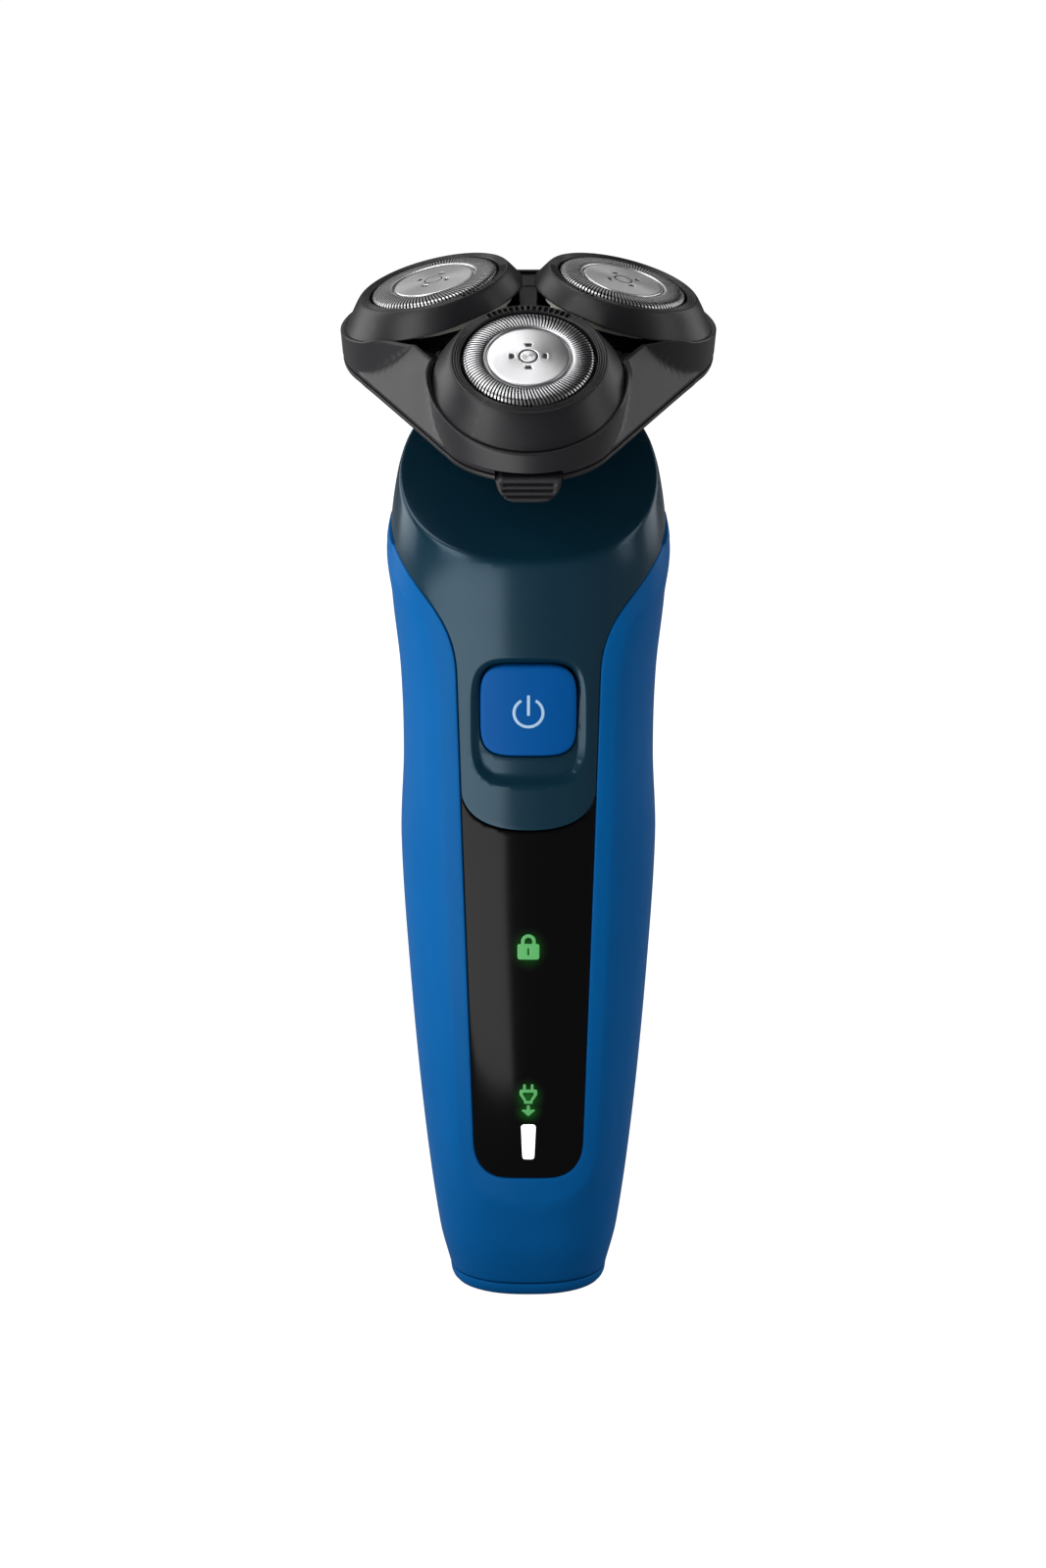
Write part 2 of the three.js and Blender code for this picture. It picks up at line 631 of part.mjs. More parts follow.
// Local head frame: +X outward, +Z out of the guard, origin in the middle of the guard
function ringToUnit(body, angle) {
  return body.rotate([0, RING_TILT, 0]).translate([HEAD_RADIUS, 0, 0]).rotate([0, 0, angle])
}
for (const angle of headAngles) {
  holder = holder.subtract(ringToUnit(rockRoom, angle))
  for (const side of [-1, 1]) {
    const sleeve = tube(BOSS.bore, BOSS.r, BOSS.from, BOSS.to, 8)
    const boss = sleeve.add(disc(BOSS.r, PIN.to + 0.8, BOSS.to, 8))
    holder = holder.add(ringToUnit(along(boss, [side * -90, 0, 0], [0, 0, -FLEX_DEPTH]), angle))
  }
}

// Spider: three arms from the wall between the heads to a small hub, stepped down near the wall
const SPIDER = { high: -4.5, low: -6.1, half: 1.7, hub: 3.4, step: 17, reach: 20.6 }
holder = holder.add(disc(SPIDER.hub, SPIDER.low, SPIDER.high, 20))
for (const angle of headAngles) {
  const across = [-SPIDER.half, SPIDER.half]
  const arm = box([1, SPIDER.step], across, [SPIDER.low, SPIDER.high])
  const root = box([SPIDER.step - 2, SPIDER.reach], across, [SPIDER.low - 1.5, SPIDER.low + 0.2])
  holder = holder.add(arm.add(root).rotate([0, 0, angle + 60]))
}

// Hinge at the back between holder and chamber
const HINGE = { rho: 25.4, w: -13.35, r: 1.7, bore: 0.85, pin: 0.7 }
function hingeDisc(radius, low, high, segments) {
  return along(disc(radius, low, high, segments), [90, 0, 0], [-HINGE.rho, 0, HINGE.w])
}
const knuckle = (low, high) => hingeDisc(HINGE.r, low, high, 16)
const hingeRoom = (low, high) => hingeDisc(HINGE.r + FIT, low, high, 16)
const hingeBore = hingeDisc(HINGE.bore, -20, 20, 12)
holder = holder.subtract(hingeRoom(-8, -3.6)).subtract(hingeRoom(3.6, 8))
holder = holder.add(knuckle(-3.4, 3.4).subtract(box([-24.6, 0], [-4, 4], [-20, HOLDER_LOW])))
holder = holder.add(box([-HINGE.rho, -22.8], [-3.4, 3.4], [HOLDER_LOW, HOLDER_LOW + 1.3]))

// Notch for the latch at the front
const LATCH = { width: 10.5, low: -17.8, high: -13.1, out: 33.1, in: 28.2 }
const latchHalf = LATCH.width / 2
const latchRoom = box(
  [LATCH.in - 1.8, 40], [-latchHalf - 0.35, latchHalf + 0.35], [LATCH.low - 3, LATCH.high + 0.4],
)
add('head_holder', unitToWorld(holder.subtract(hingeBore).subtract(latchRoom)), CHARCOAL)

// Hair chamber: the lower bowl, with the gear room inside and the neck socket below
const BOWL_LOW = -21.6
const SOCKET_TOP = NECK_TOP + 0.4
const GEAR_FLOOR = GEAR_W - 0.3
function chamberProfile(angle) {
  const rim = housingRadius(angle, RIM.low)
  const r = (share) => 11.7 + (rim - 11.7) * share
  return [
    [rim - 1.9, CHAMBER_TOP], [rim - 0.15, CHAMBER_TOP], [rim - 0.2, CHAMBER_TOP - 0.8],
    [r(0.9), -15.6], [r(0.6), -18.3], [r(0.25), -20.6], [11.7, BOWL_LOW], [NECK_R + 0.4, BOWL_LOW],
    [NECK_R + 0.4, SOCKET_TOP], [2.4, SOCKET_TOP], [2.4, GEAR_FLOOR], [r(0.72), GEAR_FLOOR],
    [r(0.88) - 1, -15.2],
  ]
}
let chamber = ringSolid(chamberProfile, RIM_SEGMENTS).subtract(latchRoom)
for (const side of [-1, 1]) {
  const [low, high] = side < 0 ? [-7.6, -3.8] : [3.8, 7.6]
  chamber = chamber.add(knuckle(low, high).subtract(box([-24.9, 0], [-9, 9], [-13.2, -5])))
}
chamber = chamber.subtract(hingeRoom(-3.6, 3.6)).subtract(hingeBore)
add('hair_chamber', unitToWorld(chamber), CHARCOAL)
add('hinge_pin', unitToWorld(hingeDisc(HINGE.pin, -7.4, 7.4, 12)), STEEL)

// Release latch with three grip ribs
const tall = LATCH.high - LATCH.low
const latchShape = new THREE.Shape()
latchShape.moveTo(-latchHalf, 0)
latchShape.lineTo(latchHalf, 0)
latchShape.quadraticCurveTo(latchHalf - 0.2, -tall, latchHalf - 3.6, -tall)
latchShape.lineTo(-latchHalf + 3.6, -tall)
latchShape.quadraticCurveTo(-latchHalf + 0.2, -tall, -latchHalf, 0)
let latch = prism(latchShape, LATCH.in, LATCH.out, 5).rotate([90, 0, 90])
for (const drop of [1.3, 2.4, 3.5]) {
  latch = latch.subtract(box([LATCH.out - 0.35, LATCH.out + 1], [-4.1, 4.1], [-drop - 0.3, -drop + 0.3]))
}
latch = latch.translate([0, 0, LATCH.high])
add('release_latch', unitToWorld(latch), CHARCOAL)

// ---- Gear train ----
function gearShape(teeth, radius, bore, phase) {
  const s = new THREE.Shape()
  const step = (2 * Math.PI) / teeth
  const steps = [[-0.27, -1.1], [-0.1, 0.75], [0.1, 0.75], [0.27, -1.1]]
  for (let i = 0; i < teeth; i++) {
    for (const [share, rise] of steps) {
      const a = phase + (i + share) * step
      const r = radius + rise * MODULE
      const [x, y] = [r * Math.cos(a), r * Math.sin(a)]
      if (i === 0 && share === steps[0][0]) s.moveTo(x, y)
      else s.lineTo(x, y)
    }
  }
  const hole = new THREE.Path()
  hole.absarc(0, 0, bore, 0, 2 * Math.PI, true)
  s.holes.push(hole)
  return s
}

const gearTop = GEAR_W + GEAR_THICK
const sun = prism(gearShape(SUN_TEETH, (MODULE * SUN_TEETH) / 2, 1.55, 0), GEAR_W, gearTop, 8)
add('sun_gear', unitToWorld(sun), NATURAL)

const FLOOR = [-13.9, -12.9]
const plateLoop = (w) => Array.from({ length: 48 }, (_, i) => {
  const a = (2 * Math.PI * i) / 48
  const r = housingRadius(a, RIM.low) - 2.9
  return new THREE.Vector3(r * Math.cos(a), r * Math.sin(a), w)
})
let floorPlate = loft([plateLoop(FLOOR[0]), plateLoop(FLOOR[1])])
const flexW = -FLEX_DEPTH * Math.cos(rad(RING_TILT)) // height of the point each head flexes about

const names = ['front', 'right', 'left']
headAngles.forEach((angle, i) => {
  const place = (body) => unitToWorld(body.rotate([0, 0, angle]))
  const onSpindle = (body) => body.translate([GEAR_RADIUS, 0, 0])
  const phase = Math.PI + Math.PI / PLANET_TEETH
  const teeth = gearShape(PLANET_TEETH, (MODULE * PLANET_TEETH) / 2, 1.6, phase)
  add(`planet_gear_${names[i]}`, place(onSpindle(prism(teeth, GEAR_W, gearTop, 6))), NATURAL)
  const spindle = turned([
    [0, GEAR_W + 0.1], [1.3, GEAR_W + 0.1], [1.3, flexW - 1.2], [1.5, flexW - 0.5],
    [1.5, flexW + 0.3], [0.8, flexW + 1], [0, flexW + 1],
  ], 14)
  add(`spindle_${names[i]}`, place(onSpindle(spindle)), STEEL)
  floorPlate = floorPlate.subtract(onSpindle(disc(1.8, -20, 0, 14)).rotate([0, 0, angle]))
})
floorPlate = floorPlate.subtract(disc(2.2, -20, 0, 14)).subtract(latchRoom)
add('chamber_floor', unitToWorld(floorPlate), DARK_PLASTIC)

// ---- Three shaving heads ----
const GUARD_R = 10.7
const SLOTS = 15
const guardProfile = [
  [0, -1.1], [6.7, -1.1], [7.3, -0.2], [9.7, -0.2], [10.2, -0.7], [10.2, -3.6], [GUARD_R, -3.6],
  [GUARD_R, -0.2], [10.1, 0.3], [6.9, 0.3], [6.6, -0.5], [0, -0.5],
]
let guard = turned(guardProfile, 30)
for (let i = 0; i < SLOTS; i++) {
  const slot = box([7.5, 9.6], [-0.3, 0.3], [-0.9, 0.9]).rotate([0, 0, (360 * i) / SLOTS])
  guard = guard.subtract(slot)
}
const cap = turned([[0, -0.3], [6.3, -0.3], [6.3, 0.1], [5, 0.35], [0, 0.45]], 30)

let cutter = turned([
  [0, -1.7], [9.6, -1.7], [9.6, -2.5], [3.5, -2.5], [3.5, -8.3], [2.7, -8.3], [2.7, -5.3], [0, -5.3],
], 20)
for (let i = 0; i < 10; i++) {
  const gullet = box([6.6, 12], [-0.9, 0.9], [-4, 0]).rotate([0, 0, 36 * i])
  cutter = cutter.subtract(gullet)
}

function bezelProfile(phi) {
  const edge = skirt(phi)
  const mid = skirt(phi, edge.depth * 0.45)
  const bulge = 12.6 + (Math.min(edge.r, mid.r) - 12.6) * 0.72
  return [
    [GUARD_R + 0.35, 0.1], [12.6, 0], [bulge, -1.5], [edge.r, -edge.depth + 0.9], [edge.r, -edge.depth],
    [edge.r - 0.9, -edge.depth], [bulge - 1, -edge.depth + 0.9], [GUARD_R + 1.7, -1.9],
    [GUARD_R + 0.35, -1.9],
  ]
}
const bezel = ringSolid(bezelProfile, 33)

// Retaining frame: holds cutter and guard in the bezel and carries the flex bearings
let retainer = tube(10.3, 12.2, -5.1, -4.2, 24)
let flexRing = tube(7.9, 9.5, -FLEX_DEPTH - 0.8, -FLEX_DEPTH + 0.8, 24)
for (const turn of [0, 180]) {
  const arm = box([10.2, 11.9], [-1.6, 1.6], [-8.6, -4.6]).subtract(
    along(disc(BOSS.bore, 9, 13, 12), [0, 90, 0], [0, 0, -FLEX_DEPTH]),
  )
  const bossNotch = box([9.5, 13], [-2.2, 2.2], [-6, -4.6]).rotate([0, 0, turn + 90])
  retainer = retainer.add(arm.rotate([0, 0, turn])).subtract(bossNotch)
}
for (const turn of [0, 90, 180, 270]) {
  const end = turn % 180 ? PIN.to : 11.4
  const pin = along(disc(PIN.r, PIN.from, end, 8), [0, 90, 0], [0, 0, -FLEX_DEPTH])
  flexRing = flexRing.add(pin.rotate([0, 0, turn]))
}

headAngles.forEach((angle, i) => {
  const place = (body) => unitToWorld(ringToUnit(body, angle))
  add(`bezel_${names[i]}`, place(bezel), CHARCOAL)
  add(`guard_${names[i]}`, place(guard), STEEL)
  add(`guard_cap_${names[i]}`, place(cap), STEEL)
  add(`cutter_${names[i]}`, place(cutter), STEEL)
  add(`retainer_${names[i]}`, place(retainer), NATURAL)
  add(`flex_ring_${names[i]}`, place(flexRing), DARK_PLASTIC)
})

export default group
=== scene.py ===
import math

import bmesh
import bpy
import numpy as np
from mathutils import Matrix, Vector
from mathutils.geometry import delaunay_2d_cdt


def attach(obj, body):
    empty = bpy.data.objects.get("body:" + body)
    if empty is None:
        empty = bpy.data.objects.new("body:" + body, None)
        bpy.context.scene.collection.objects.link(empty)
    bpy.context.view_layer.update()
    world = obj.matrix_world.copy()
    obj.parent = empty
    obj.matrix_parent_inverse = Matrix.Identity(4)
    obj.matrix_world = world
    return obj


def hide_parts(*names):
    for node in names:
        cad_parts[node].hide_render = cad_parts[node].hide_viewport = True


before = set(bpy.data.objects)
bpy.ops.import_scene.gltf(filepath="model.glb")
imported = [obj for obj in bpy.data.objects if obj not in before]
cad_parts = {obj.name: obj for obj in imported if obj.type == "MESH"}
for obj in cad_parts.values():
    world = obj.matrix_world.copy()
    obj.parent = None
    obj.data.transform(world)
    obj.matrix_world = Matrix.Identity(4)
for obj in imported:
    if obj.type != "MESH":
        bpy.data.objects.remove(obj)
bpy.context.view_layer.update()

MM = 0.001

# ---- Driving dimensions in millimetres, the same as the CAD model's ----
# Handle: height, half width, depth to the front, depth to the back
HANDLE = np.array([
    [2.4, 13.4, 13.0, 13.0],
    [10, 15.3, 15.0, 14.9],
    [30, 17.9, 17.0, 16.6],
    [55, 20.1, 18.3, 17.8],
    [79, 21.45, 19.1, 18.4],
    [94, 20.95, 19.4, 18.6],
    [108, 21.35, 19.9, 19.0],
    [121, 22.7, 20.9, 19.4],
    [130, 22.95, 21.5, 19.4],
    [141, 21.6, 20.6, 18.4],
    [148, 19.3, 18.8, 16.6],
    [156, 15.5, 15.5, 13.0],
])
SQUARENESS = 2.35
CREASE_Y, CREASE_Z, TOP_SLOPE = -21.5, 129.9, 0.68
HEAD_LEAN = math.radians(19)
HEAD_AT = np.array([0, -5, 168.8])
HEAD_RADIUS = 17.95
RING_TILT = math.radians(15.5)
SEAT_W = -22.4
SPLIT = math.radians(95)  # from the front round to where the housings meet
SEAM = 0.2
SURFACE_R = 20.0  # turns angles round the handle into millimetres
HEAD_ANGLES = {"front": 0, "right": 120, "left": 240}


# ---- Handle surface ----
def station(z, column):
    """Smooth curve through one column of HANDLE."""
    x, y = HANDLE[:, 0], HANDLE[:, column]
    inner = (y[2:] - y[:-2]) / (x[2:] - x[:-2])
    slope = np.r_[(y[1] - y[0]) / (x[1] - x[0]), inner, (y[-1] - y[-2]) / (x[-1] - x[-2])]
    i = np.clip(np.searchsorted(x, z) - 1, 0, len(x) - 2)
    span = x[i + 1] - x[i]
    t = (z - x[i]) / span
    return (
        (2 * t**3 - 3 * t**2 + 1) * y[i] + (t**3 - 2 * t**2 + t) * span * slope[i]
        + (3 * t**2 - 2 * t**3) * y[i + 1] + (t**3 - t**2) * span * slope[i + 1]
    )


def section(angle, z):
    """Point of the handle's wall at an angle from the front and a height."""
    s, c = np.sin(angle), np.cos(angle)
    depth = np.where(c > 0, station(z, 2), station(z, 3))
    total = (np.abs(s) / station(z, 1)) ** SQUARENESS + (np.abs(c) / depth) ** SQUARENESS
    r = total ** (-1 / SQUARENESS)
    return r * s, -r * c


def top_height(y):
    """Height of the sloping top over a front-to-back place."""
    front = CREASE_Z + TOP_SLOPE * (y - CREASE_Y)
    lean = math.tan(HEAD_LEAN)
    seat = HEAD_AT[2] + SEAT_W / math.cos(HEAD_LEAN) + (y - HEAD_AT[1]) * lean
    soft = 0.8
    return -soft * np.logaddexp(-front / soft, -seat / soft)


def crease_height(angle):
    """Height of the crease where the wall meets the sloping top."""
    z = np.full_like(angle, 140.0)
    for _ in range(30):
        z = 0.5 * (z + top_height(section(angle, z)[1]))
    return z


NECK_Y = 2.6
CREASE_ROUND = 0.6


def handle_surface(p, h):
    """Place on the handle: p runs round it in millimetres from the front, h runs up the wall and
    then on over the top towards the neck."""
    angle = p / SURFACE_R
    crest = crease_height(angle)
    cx, cy = section(angle, crest)
    reach = np.hypot(cx, cy - NECK_Y)

    def wall(z):
        x, y = section(angle, z)
        return np.stack([x, y, z], -1)

    def over(distance):
        share = distance / reach
        x, y = cx * (1 - share), cy + (NECK_Y - cy) * share
        return np.stack([x, y, top_height(y)], -1)

    t = np.clip((h - crest + CREASE_ROUND) / (2 * CREASE_ROUND), 0, 1)[..., None]
    a, b = wall(crest - CREASE_ROUND), over(CREASE_ROUND)
    corner = np.stack([cx, cy, crest], -1)
    rounded = (1 - t) ** 2 * a + 2 * t * (1 - t) * corner + t**2 * b
    low = (h < crest - CREASE_ROUND)[..., None]
    high = (h > crest + CREASE_ROUND)[..., None]
    return np.where(low, wall(np.minimum(h, crest)), np.where(high, over(h - crest), rounded))


def front_p(x, z):
    """Distance round the handle of a place on its front given by x and z."""
    x, z = np.asarray(x, float), np.asarray(z, float)
    a = station(z, 1)
    y = station(z, 2) * (1 - np.minimum(np.abs(x) / a, 0.9999) ** SQUARENESS) ** (1 / SQUARENESS)
    return SURFACE_R * np.arctan2(x, y)


# ---- Outlines ----
def curve(*points, steps=12):
    """Points of a Bezier curve with any number of control points, without the last."""
    t = np.linspace(0, 1, steps, endpoint=False)[:, None]
    pts = [np.array(q, float)[None] for q in points]
    while len(pts) > 1:
        pts = [a * (1 - t) + b * t for a, b in zip(pts, pts[1:])]
    return np.broadcast_to(pts[0], (steps, 2))


def resample(loop, spacing, closed=True, count=None):
    """Points at even distances along a line: count of them, or as many as fit the spacing."""
    loop = np.asarray(loop, float)
    ring = np.vstack([loop, loop[:1]]) if closed else loop
    step = np.hypot(*np.diff(ring, axis=0).T)
    keep = np.r_[True, step > 1e-6]
    ring, along = ring[keep], np.r_[0, np.cumsum(step[step > 1e-6])]
    n = count or max(int(round(along[-1] / spacing)), 8)
    at = np.linspace(0, along[-1], n, endpoint=not closed)
    return np.stack([np.interp(at, along, ring[:, k]) for k in (0, 1)], -1)


def mirrored(right):
    """A whole outline from its right half, given from the bottom to the top."""
    left = right[::-1] * [-1, 1]
    return np.vstack([right, left])


def offset(loop, distance):
    """The loop, which runs anticlockwise, moved inwards by distance."""
    before, after = np.roll(loop, 1, 0), np.roll(loop, -1, 0)

    def inward(edge):
        n = np.stack([-edge[:, 1], edge[:, 0]], -1)
        return n / np.maximum(np.linalg.norm(n, axis=1, keepdims=True), 1e-9)

    n0, n1 = inward(loop - before), inward(after - loop)
    miter = n0 + n1
    scale = 2 / np.maximum((miter**2).sum(1, keepdims=True), 1.0)
    return loop + distance * miter * scale


def inside(points, loop):
    """Which points lie within the loop."""
    x, y = points[:, 0][:, None], points[:, 1][:, None]
    a, b = loop, np.roll(loop, -1, 0)
    crosses = (a[:, 1] > y) != (b[:, 1] > y)
    rise = np.where(b[:, 1] == a[:, 1], 1e-9, b[:, 1] - a[:, 1])
    at = a[:, 0] + (y - a[:, 1]) * (b[:, 0] - a[:, 0]) / rise
    return ((crosses & (x < at)).sum(1) % 2) == 1


def distance_to(points, loop, closed=True):
    """Distance from each point to the nearest place on the line."""
    a = loop if closed else loop[:-1]
    b = np.roll(loop, -1, 0) if closed else loop[1:]
    best = np.full(len(points), 1e9)
    for lo in range(0, len(points), 4000):
        q = points[lo:lo + 4000, None]
        ab = b - a
        t = ((q - a) * ab).sum(-1) / np.maximum((ab**2).sum(-1), 1e-12)
        near = a + np.clip(t, 0, 1)[..., None] * ab
        best[lo:lo + 4000] = np.sqrt(((q - near) ** 2).sum(-1)).min(1)
    return best


# ---- Mesh helpers ----
def piece(name, verts, faces, look, body, nodes=(), place=None, sharp=35,
          own_frame=False):
    """A mesh in millimetres, in the row frame or in the frame of the matrix place. With own_frame
    the object keeps that frame as its own, so that its material can turn round its axis."""
    mesh = bpy.data.meshes.new(name)
    mesh.from_pydata((np.asarray(verts) * MM).tolist(), [], [list(map(int, f)) for f in faces])
    if place is not None and not own_frame:
        mesh.transform(place)
    looks = look if isinstance(look, (list, tuple)) else [look]
    for m in looks:
        mesh.materials.append(m)
    mesh.update()
    mesh.polygons.foreach_set("use_smooth", [True] * len(mesh.polygons))
    mesh.set_sharp_from_angle(angle=math.radians(sharp))
    ob = bpy.data.objects.new(name, mesh)
    bpy.context.scene.collection.objects.link(ob)
    if own_frame:
        ob.matrix_world = place
    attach(ob, body)
    if nodes:
        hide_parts(*nodes)
    return ob


def grid_faces(rows, columns, close_rows=False, flip=False):
    """Quads between rows of points that each go all the way round."""
    faces = []
    for j in range(rows if close_rows else rows - 1):
        k = (j + 1) % rows
        for i in range(columns):
            m = (i + 1) % columns
            quad = (j * columns + i, j * columns + m, k * columns + m, k * columns + i)
            faces.append(quad[::-1] if flip else quad)
    return faces


FILLET_ANGLES = [math.radians(a) for a in (90, 60, 35, 15, 0)]
RINGS = len(FILLET_ANGLES) + 1  # rows of points round each edge of a plate
FOLD_CLEARANCE = 0.12


def edge_rings(loop, fillet, thick):
    """Rows of points round one edge of a plate, from its face round the fillet to its foot."""
    rings = [(offset(loop, fillet * (1 - math.cos(a))), fillet * (1 - math.sin(a)))
             for a in FILLET_ANGLES]
    return rings + [(loop, thick)]


def in_plate(points, loops):
    """Which points lie inside the first loop and outside all the others."""
    found = inside(points, loops[0])
    for hole in loops[1:]:
        found &= ~inside(points, hole)
    return found


def fold_runs(folds, loops, spacing):
    """The parts of the fold lines that lie in the plate, clear of its edges."""
    runs = []
    for fold in folds:
        line = resample(fold, spacing, closed=False)
        clear = np.min([distance_to(line, loop) for loop in loops], 0) > FOLD_CLEARANCE
        clear &= in_plate(line, loops)
        for run in np.split(np.arange(len(line)), np.flatnonzero(~clear)):
            run = run[clear[run]]
            if len(run) > 1:
                runs.append(line[run])
    return runs


def plate(name, outline, surface, look, body, nodes=(), holes=(), fillet=0.25,
          thick=1.2, spacing=1.0, edge=0.4, proud=None, place=None, folds=()):
    """A thin shell that follows surface inside an outline, with rounded edges and side walls.
    proud(points) raises it, in millimetres. Mesh edges run along the lines in folds."""
    loops = []
    for n, loop in enumerate([outline, *holes]):
        loop = resample(loop, edge)
        x, y = loop.T
        area = (x * np.roll(y, -1) - y * np.roll(x, -1)).sum()
        loops.append(loop if (area > 0) == (n == 0) else loop[::-1])
    rings = [ring for loop in loops for ring in edge_rings(loop, fillet, thick)]
    inner = [rings[RINGS * n][0] for n in range(len(loops))]
    low, high = inner[0].min(0), inner[0].max(0)
    gx = np.arange(low[0], high[0] + spacing, spacing)
    gy = np.arange(low[1], high[1] + spacing, spacing)
    grid = np.stack(np.meshgrid(gx, gy), -1).reshape(-1, 2)
    grid = grid[in_plate(grid, inner)]
    gap = np.min([distance_to(grid, loop) for loop in inner], 0)
    grid = grid[gap > 0.45 * spacing]

    # Edges that the triangles have to keep: round every loop, and along every fold
    edges, start = [], 0
    for loop in inner:
        n = len(loop)
        edges += [(start + i, start + (i + 1) % n) for i in range(n)]
        start += n
    lines = fold_runs(folds, inner, edge * 1.5)
    for line in lines:
        edges += [(start + i, start + i + 1) for i in range(len(line) - 1)]
        start += len(line)
        grid = grid[distance_to(grid, line, closed=False) > 0.3 * spacing]
    flat = np.vstack(inner + lines + [grid])
    found = delaunay_2d_cdt([Vector(q) for q in flat], edges, [], 0, 1e-6)
    made = np.array([list(v) for v in found[0]])
    tris = np.array([list(f) for f in found[2]])
    tris = tris[in_plate(made[tris].mean(1), inner)]
    a, b, c = (made[tris[:, k]] for k in range(3))
    turn = (b - a)[:, 0] * (c - a)[:, 1] - (b - a)[:, 1] * (c - a)[:, 0]
    tris[turn < 0] = tris[turn < 0][:, ::-1]

    # Rounded edges and side walls, joined to the points that came from each loop
    flat_all, depth_all, faces = [made], [np.zeros(len(made))], [tuple(t) for t in tris]
    source = {i: k for k, ids in enumerate(found[3]) for i in ids}
    start, count = 0, len(made)
    for n, loop in enumerate(loops):
        size = len(loop)
        last = [source[start + i] for i in range(size)]
        start += size
        for ring, depth in rings[RINGS * n + 1:RINGS * (n + 1)]:
            ids = list(range(count, count + size))
            flat_all.append(ring)
            depth_all.append(np.full(size, depth))
            for i in range(size):
                m = (i + 1) % size
                faces.append((last[i], ids[i], ids[m], last[m]))
            last, count = ids, count + size
    flat_all, depth_all = np.vstack(flat_all), np.concatenate(depth_all)
    if proud is not None:
        depth_all = depth_all - proud(flat_all)
    p, h = flat_all.T
    e = 0.05
    across = surface(p + e, h) - surface(p - e, h)
    up = surface(p, h + e) - surface(p, h - e)
    normal = np.cross(across, up)
    normal /= np.linalg.norm(normal, axis=1, keepdims=True)
    verts = surface(p, h) - normal * depth_all[:, None]
    return piece(name, verts, faces, look, body, nodes, place)


def turned(name, profile, look, body, nodes=(), place=None, segments=96):
    """A turned piece. The profile [radius, height] runs anticlockwise and closes on itself."""
    profile = np.array(profile, float)
    a = np.linspace(0, 2 * math.pi, segments, endpoint=False)
    rows = [np.stack([r * np.cos(a), r * np.sin(a), np.full_like(a, z)], -1) for r, z in profile]
    faces = grid_faces(len(rows), segments, close_rows=True)
    return piece(name, np.vstack(rows), faces, look, body, nodes, place)


def cut(ob, *cutters):
    """Takes the cutters' shapes out of ob for good."""
    for c in cutters:
        m = ob.modifiers.new("cut", "BOOLEAN")
        m.operation, m.solver, m.object = "DIFFERENCE", "EXACT", c
    bpy.context.view_layer.update()
    shape = bpy.data.meshes.new_from_object(ob.evaluated_get(bpy.context.evaluated_depsgraph_get()))
    ob.modifiers.clear()
    ob.data = shape
    for c in cutters:
        bpy.data.objects.remove(c)


def block(low, high, place):
    """A box from one corner to the other, in the frame of the matrix place."""
    mesh = bpy.data.meshes.new("block")
    bm = bmesh.new()
    bmesh.ops.create_cube(bm, size=1)
    low, high = Vector(low), Vector(high)
    for v in bm.verts:
        v.co = Vector(((v.co[k] + 0.5) * (high[k] - low[k]) + low[k]) * MM for k in range(3))
    bm.to_mesh(mesh)
    ob = bpy.data.objects.new("block", mesh)
    bpy.context.scene.collection.objects.link(ob)
    ob.matrix_world = place
    return ob


# ---- Materials ----
def add_node(tree, kind, inputs=(), **settings):
    """A shader node with its settings. An input is a value or the socket that feeds it."""
    node = tree.nodes.new("ShaderNode" + kind)
    for name, value in settings.items():
        setattr(node, name, value)
    set_inputs(tree, node, inputs)
    return node


def set_inputs(tree, node, inputs):
    """Sets each input to its value, or links it to the socket given."""
    for name, value in dict(inputs).items():
        if isinstance(value, bpy.types.NodeSocket):
            tree.links.new(value, node.inputs[name])
        else:
            node.inputs[name].default_value = value


def shader_of(m):
    return m.node_tree.nodes["Principled BSDF"]


def material(name, color, rough, metal=0.0, coat=0.0, vary=0.06, grain=900, bump=0.04,
             wear=0.0, specular=0.5):
    """A plain surface with a little variation in tone and gloss, a fine grain and lighter worn
    edges. vary, bump and wear say how strong these are."""
    m = bpy.data.materials.new(name)
    m.use_nodes = True
    tree, shader = m.node_tree, shader_of(m)
    set_inputs(tree, shader, {"Metallic": metal, "Coat Weight": coat, "Coat Roughness": 0.1,
                              "Specular IOR Level": specular})
    place = add_node(tree, "TexCoord").outputs["Object"]

    def noise(scale, detail):
        return add_node(tree, "TexNoise",
                        {"Scale": scale, "Detail": detail, "Vector": place}).outputs["Fac"]

    def spread(value, low, high):
        return add_node(tree, "MapRange", {"From Min": 0.3, "From Max": 0.7, "To Min": low,
                                           "To Max": high, "Value": value}).outputs["Result"]

    tint = add_node(tree, "HueSaturation", {
        "Color": (*color, 1), "Value": spread(noise(60, 3), 1 - vary, 1 + vary)})
    out = tint.outputs["Color"]
    if wear:
        pointed = add_node(tree, "NewGeometry").outputs["Pointiness"]
        edge = add_node(tree, "MapRange", {"From Min": 0.52, "From Max": 0.62, "To Max": wear,
                                           "Value": pointed})
        worn = [min(1, c * 1.8 + 0.05) for c in color]
        mix = add_node(tree, "Mix", {"A": out, "B": (*worn, 1),
                                     "Factor": edge.outputs["Result"]}, data_type="RGBA")
        out = mix.outputs["Result"]
    skin = add_node(tree, "Bump", {"Strength": bump, "Distance": 0.0002,
                                   "Height": noise(grain, 2)})
    set_inputs(tree, shader, {
        "Base Color": out, "Roughness": spread(noise(220, 2), rough * 0.95, rough * 1.05),
        "Normal": skin.outputs["Normal"]})
    return m


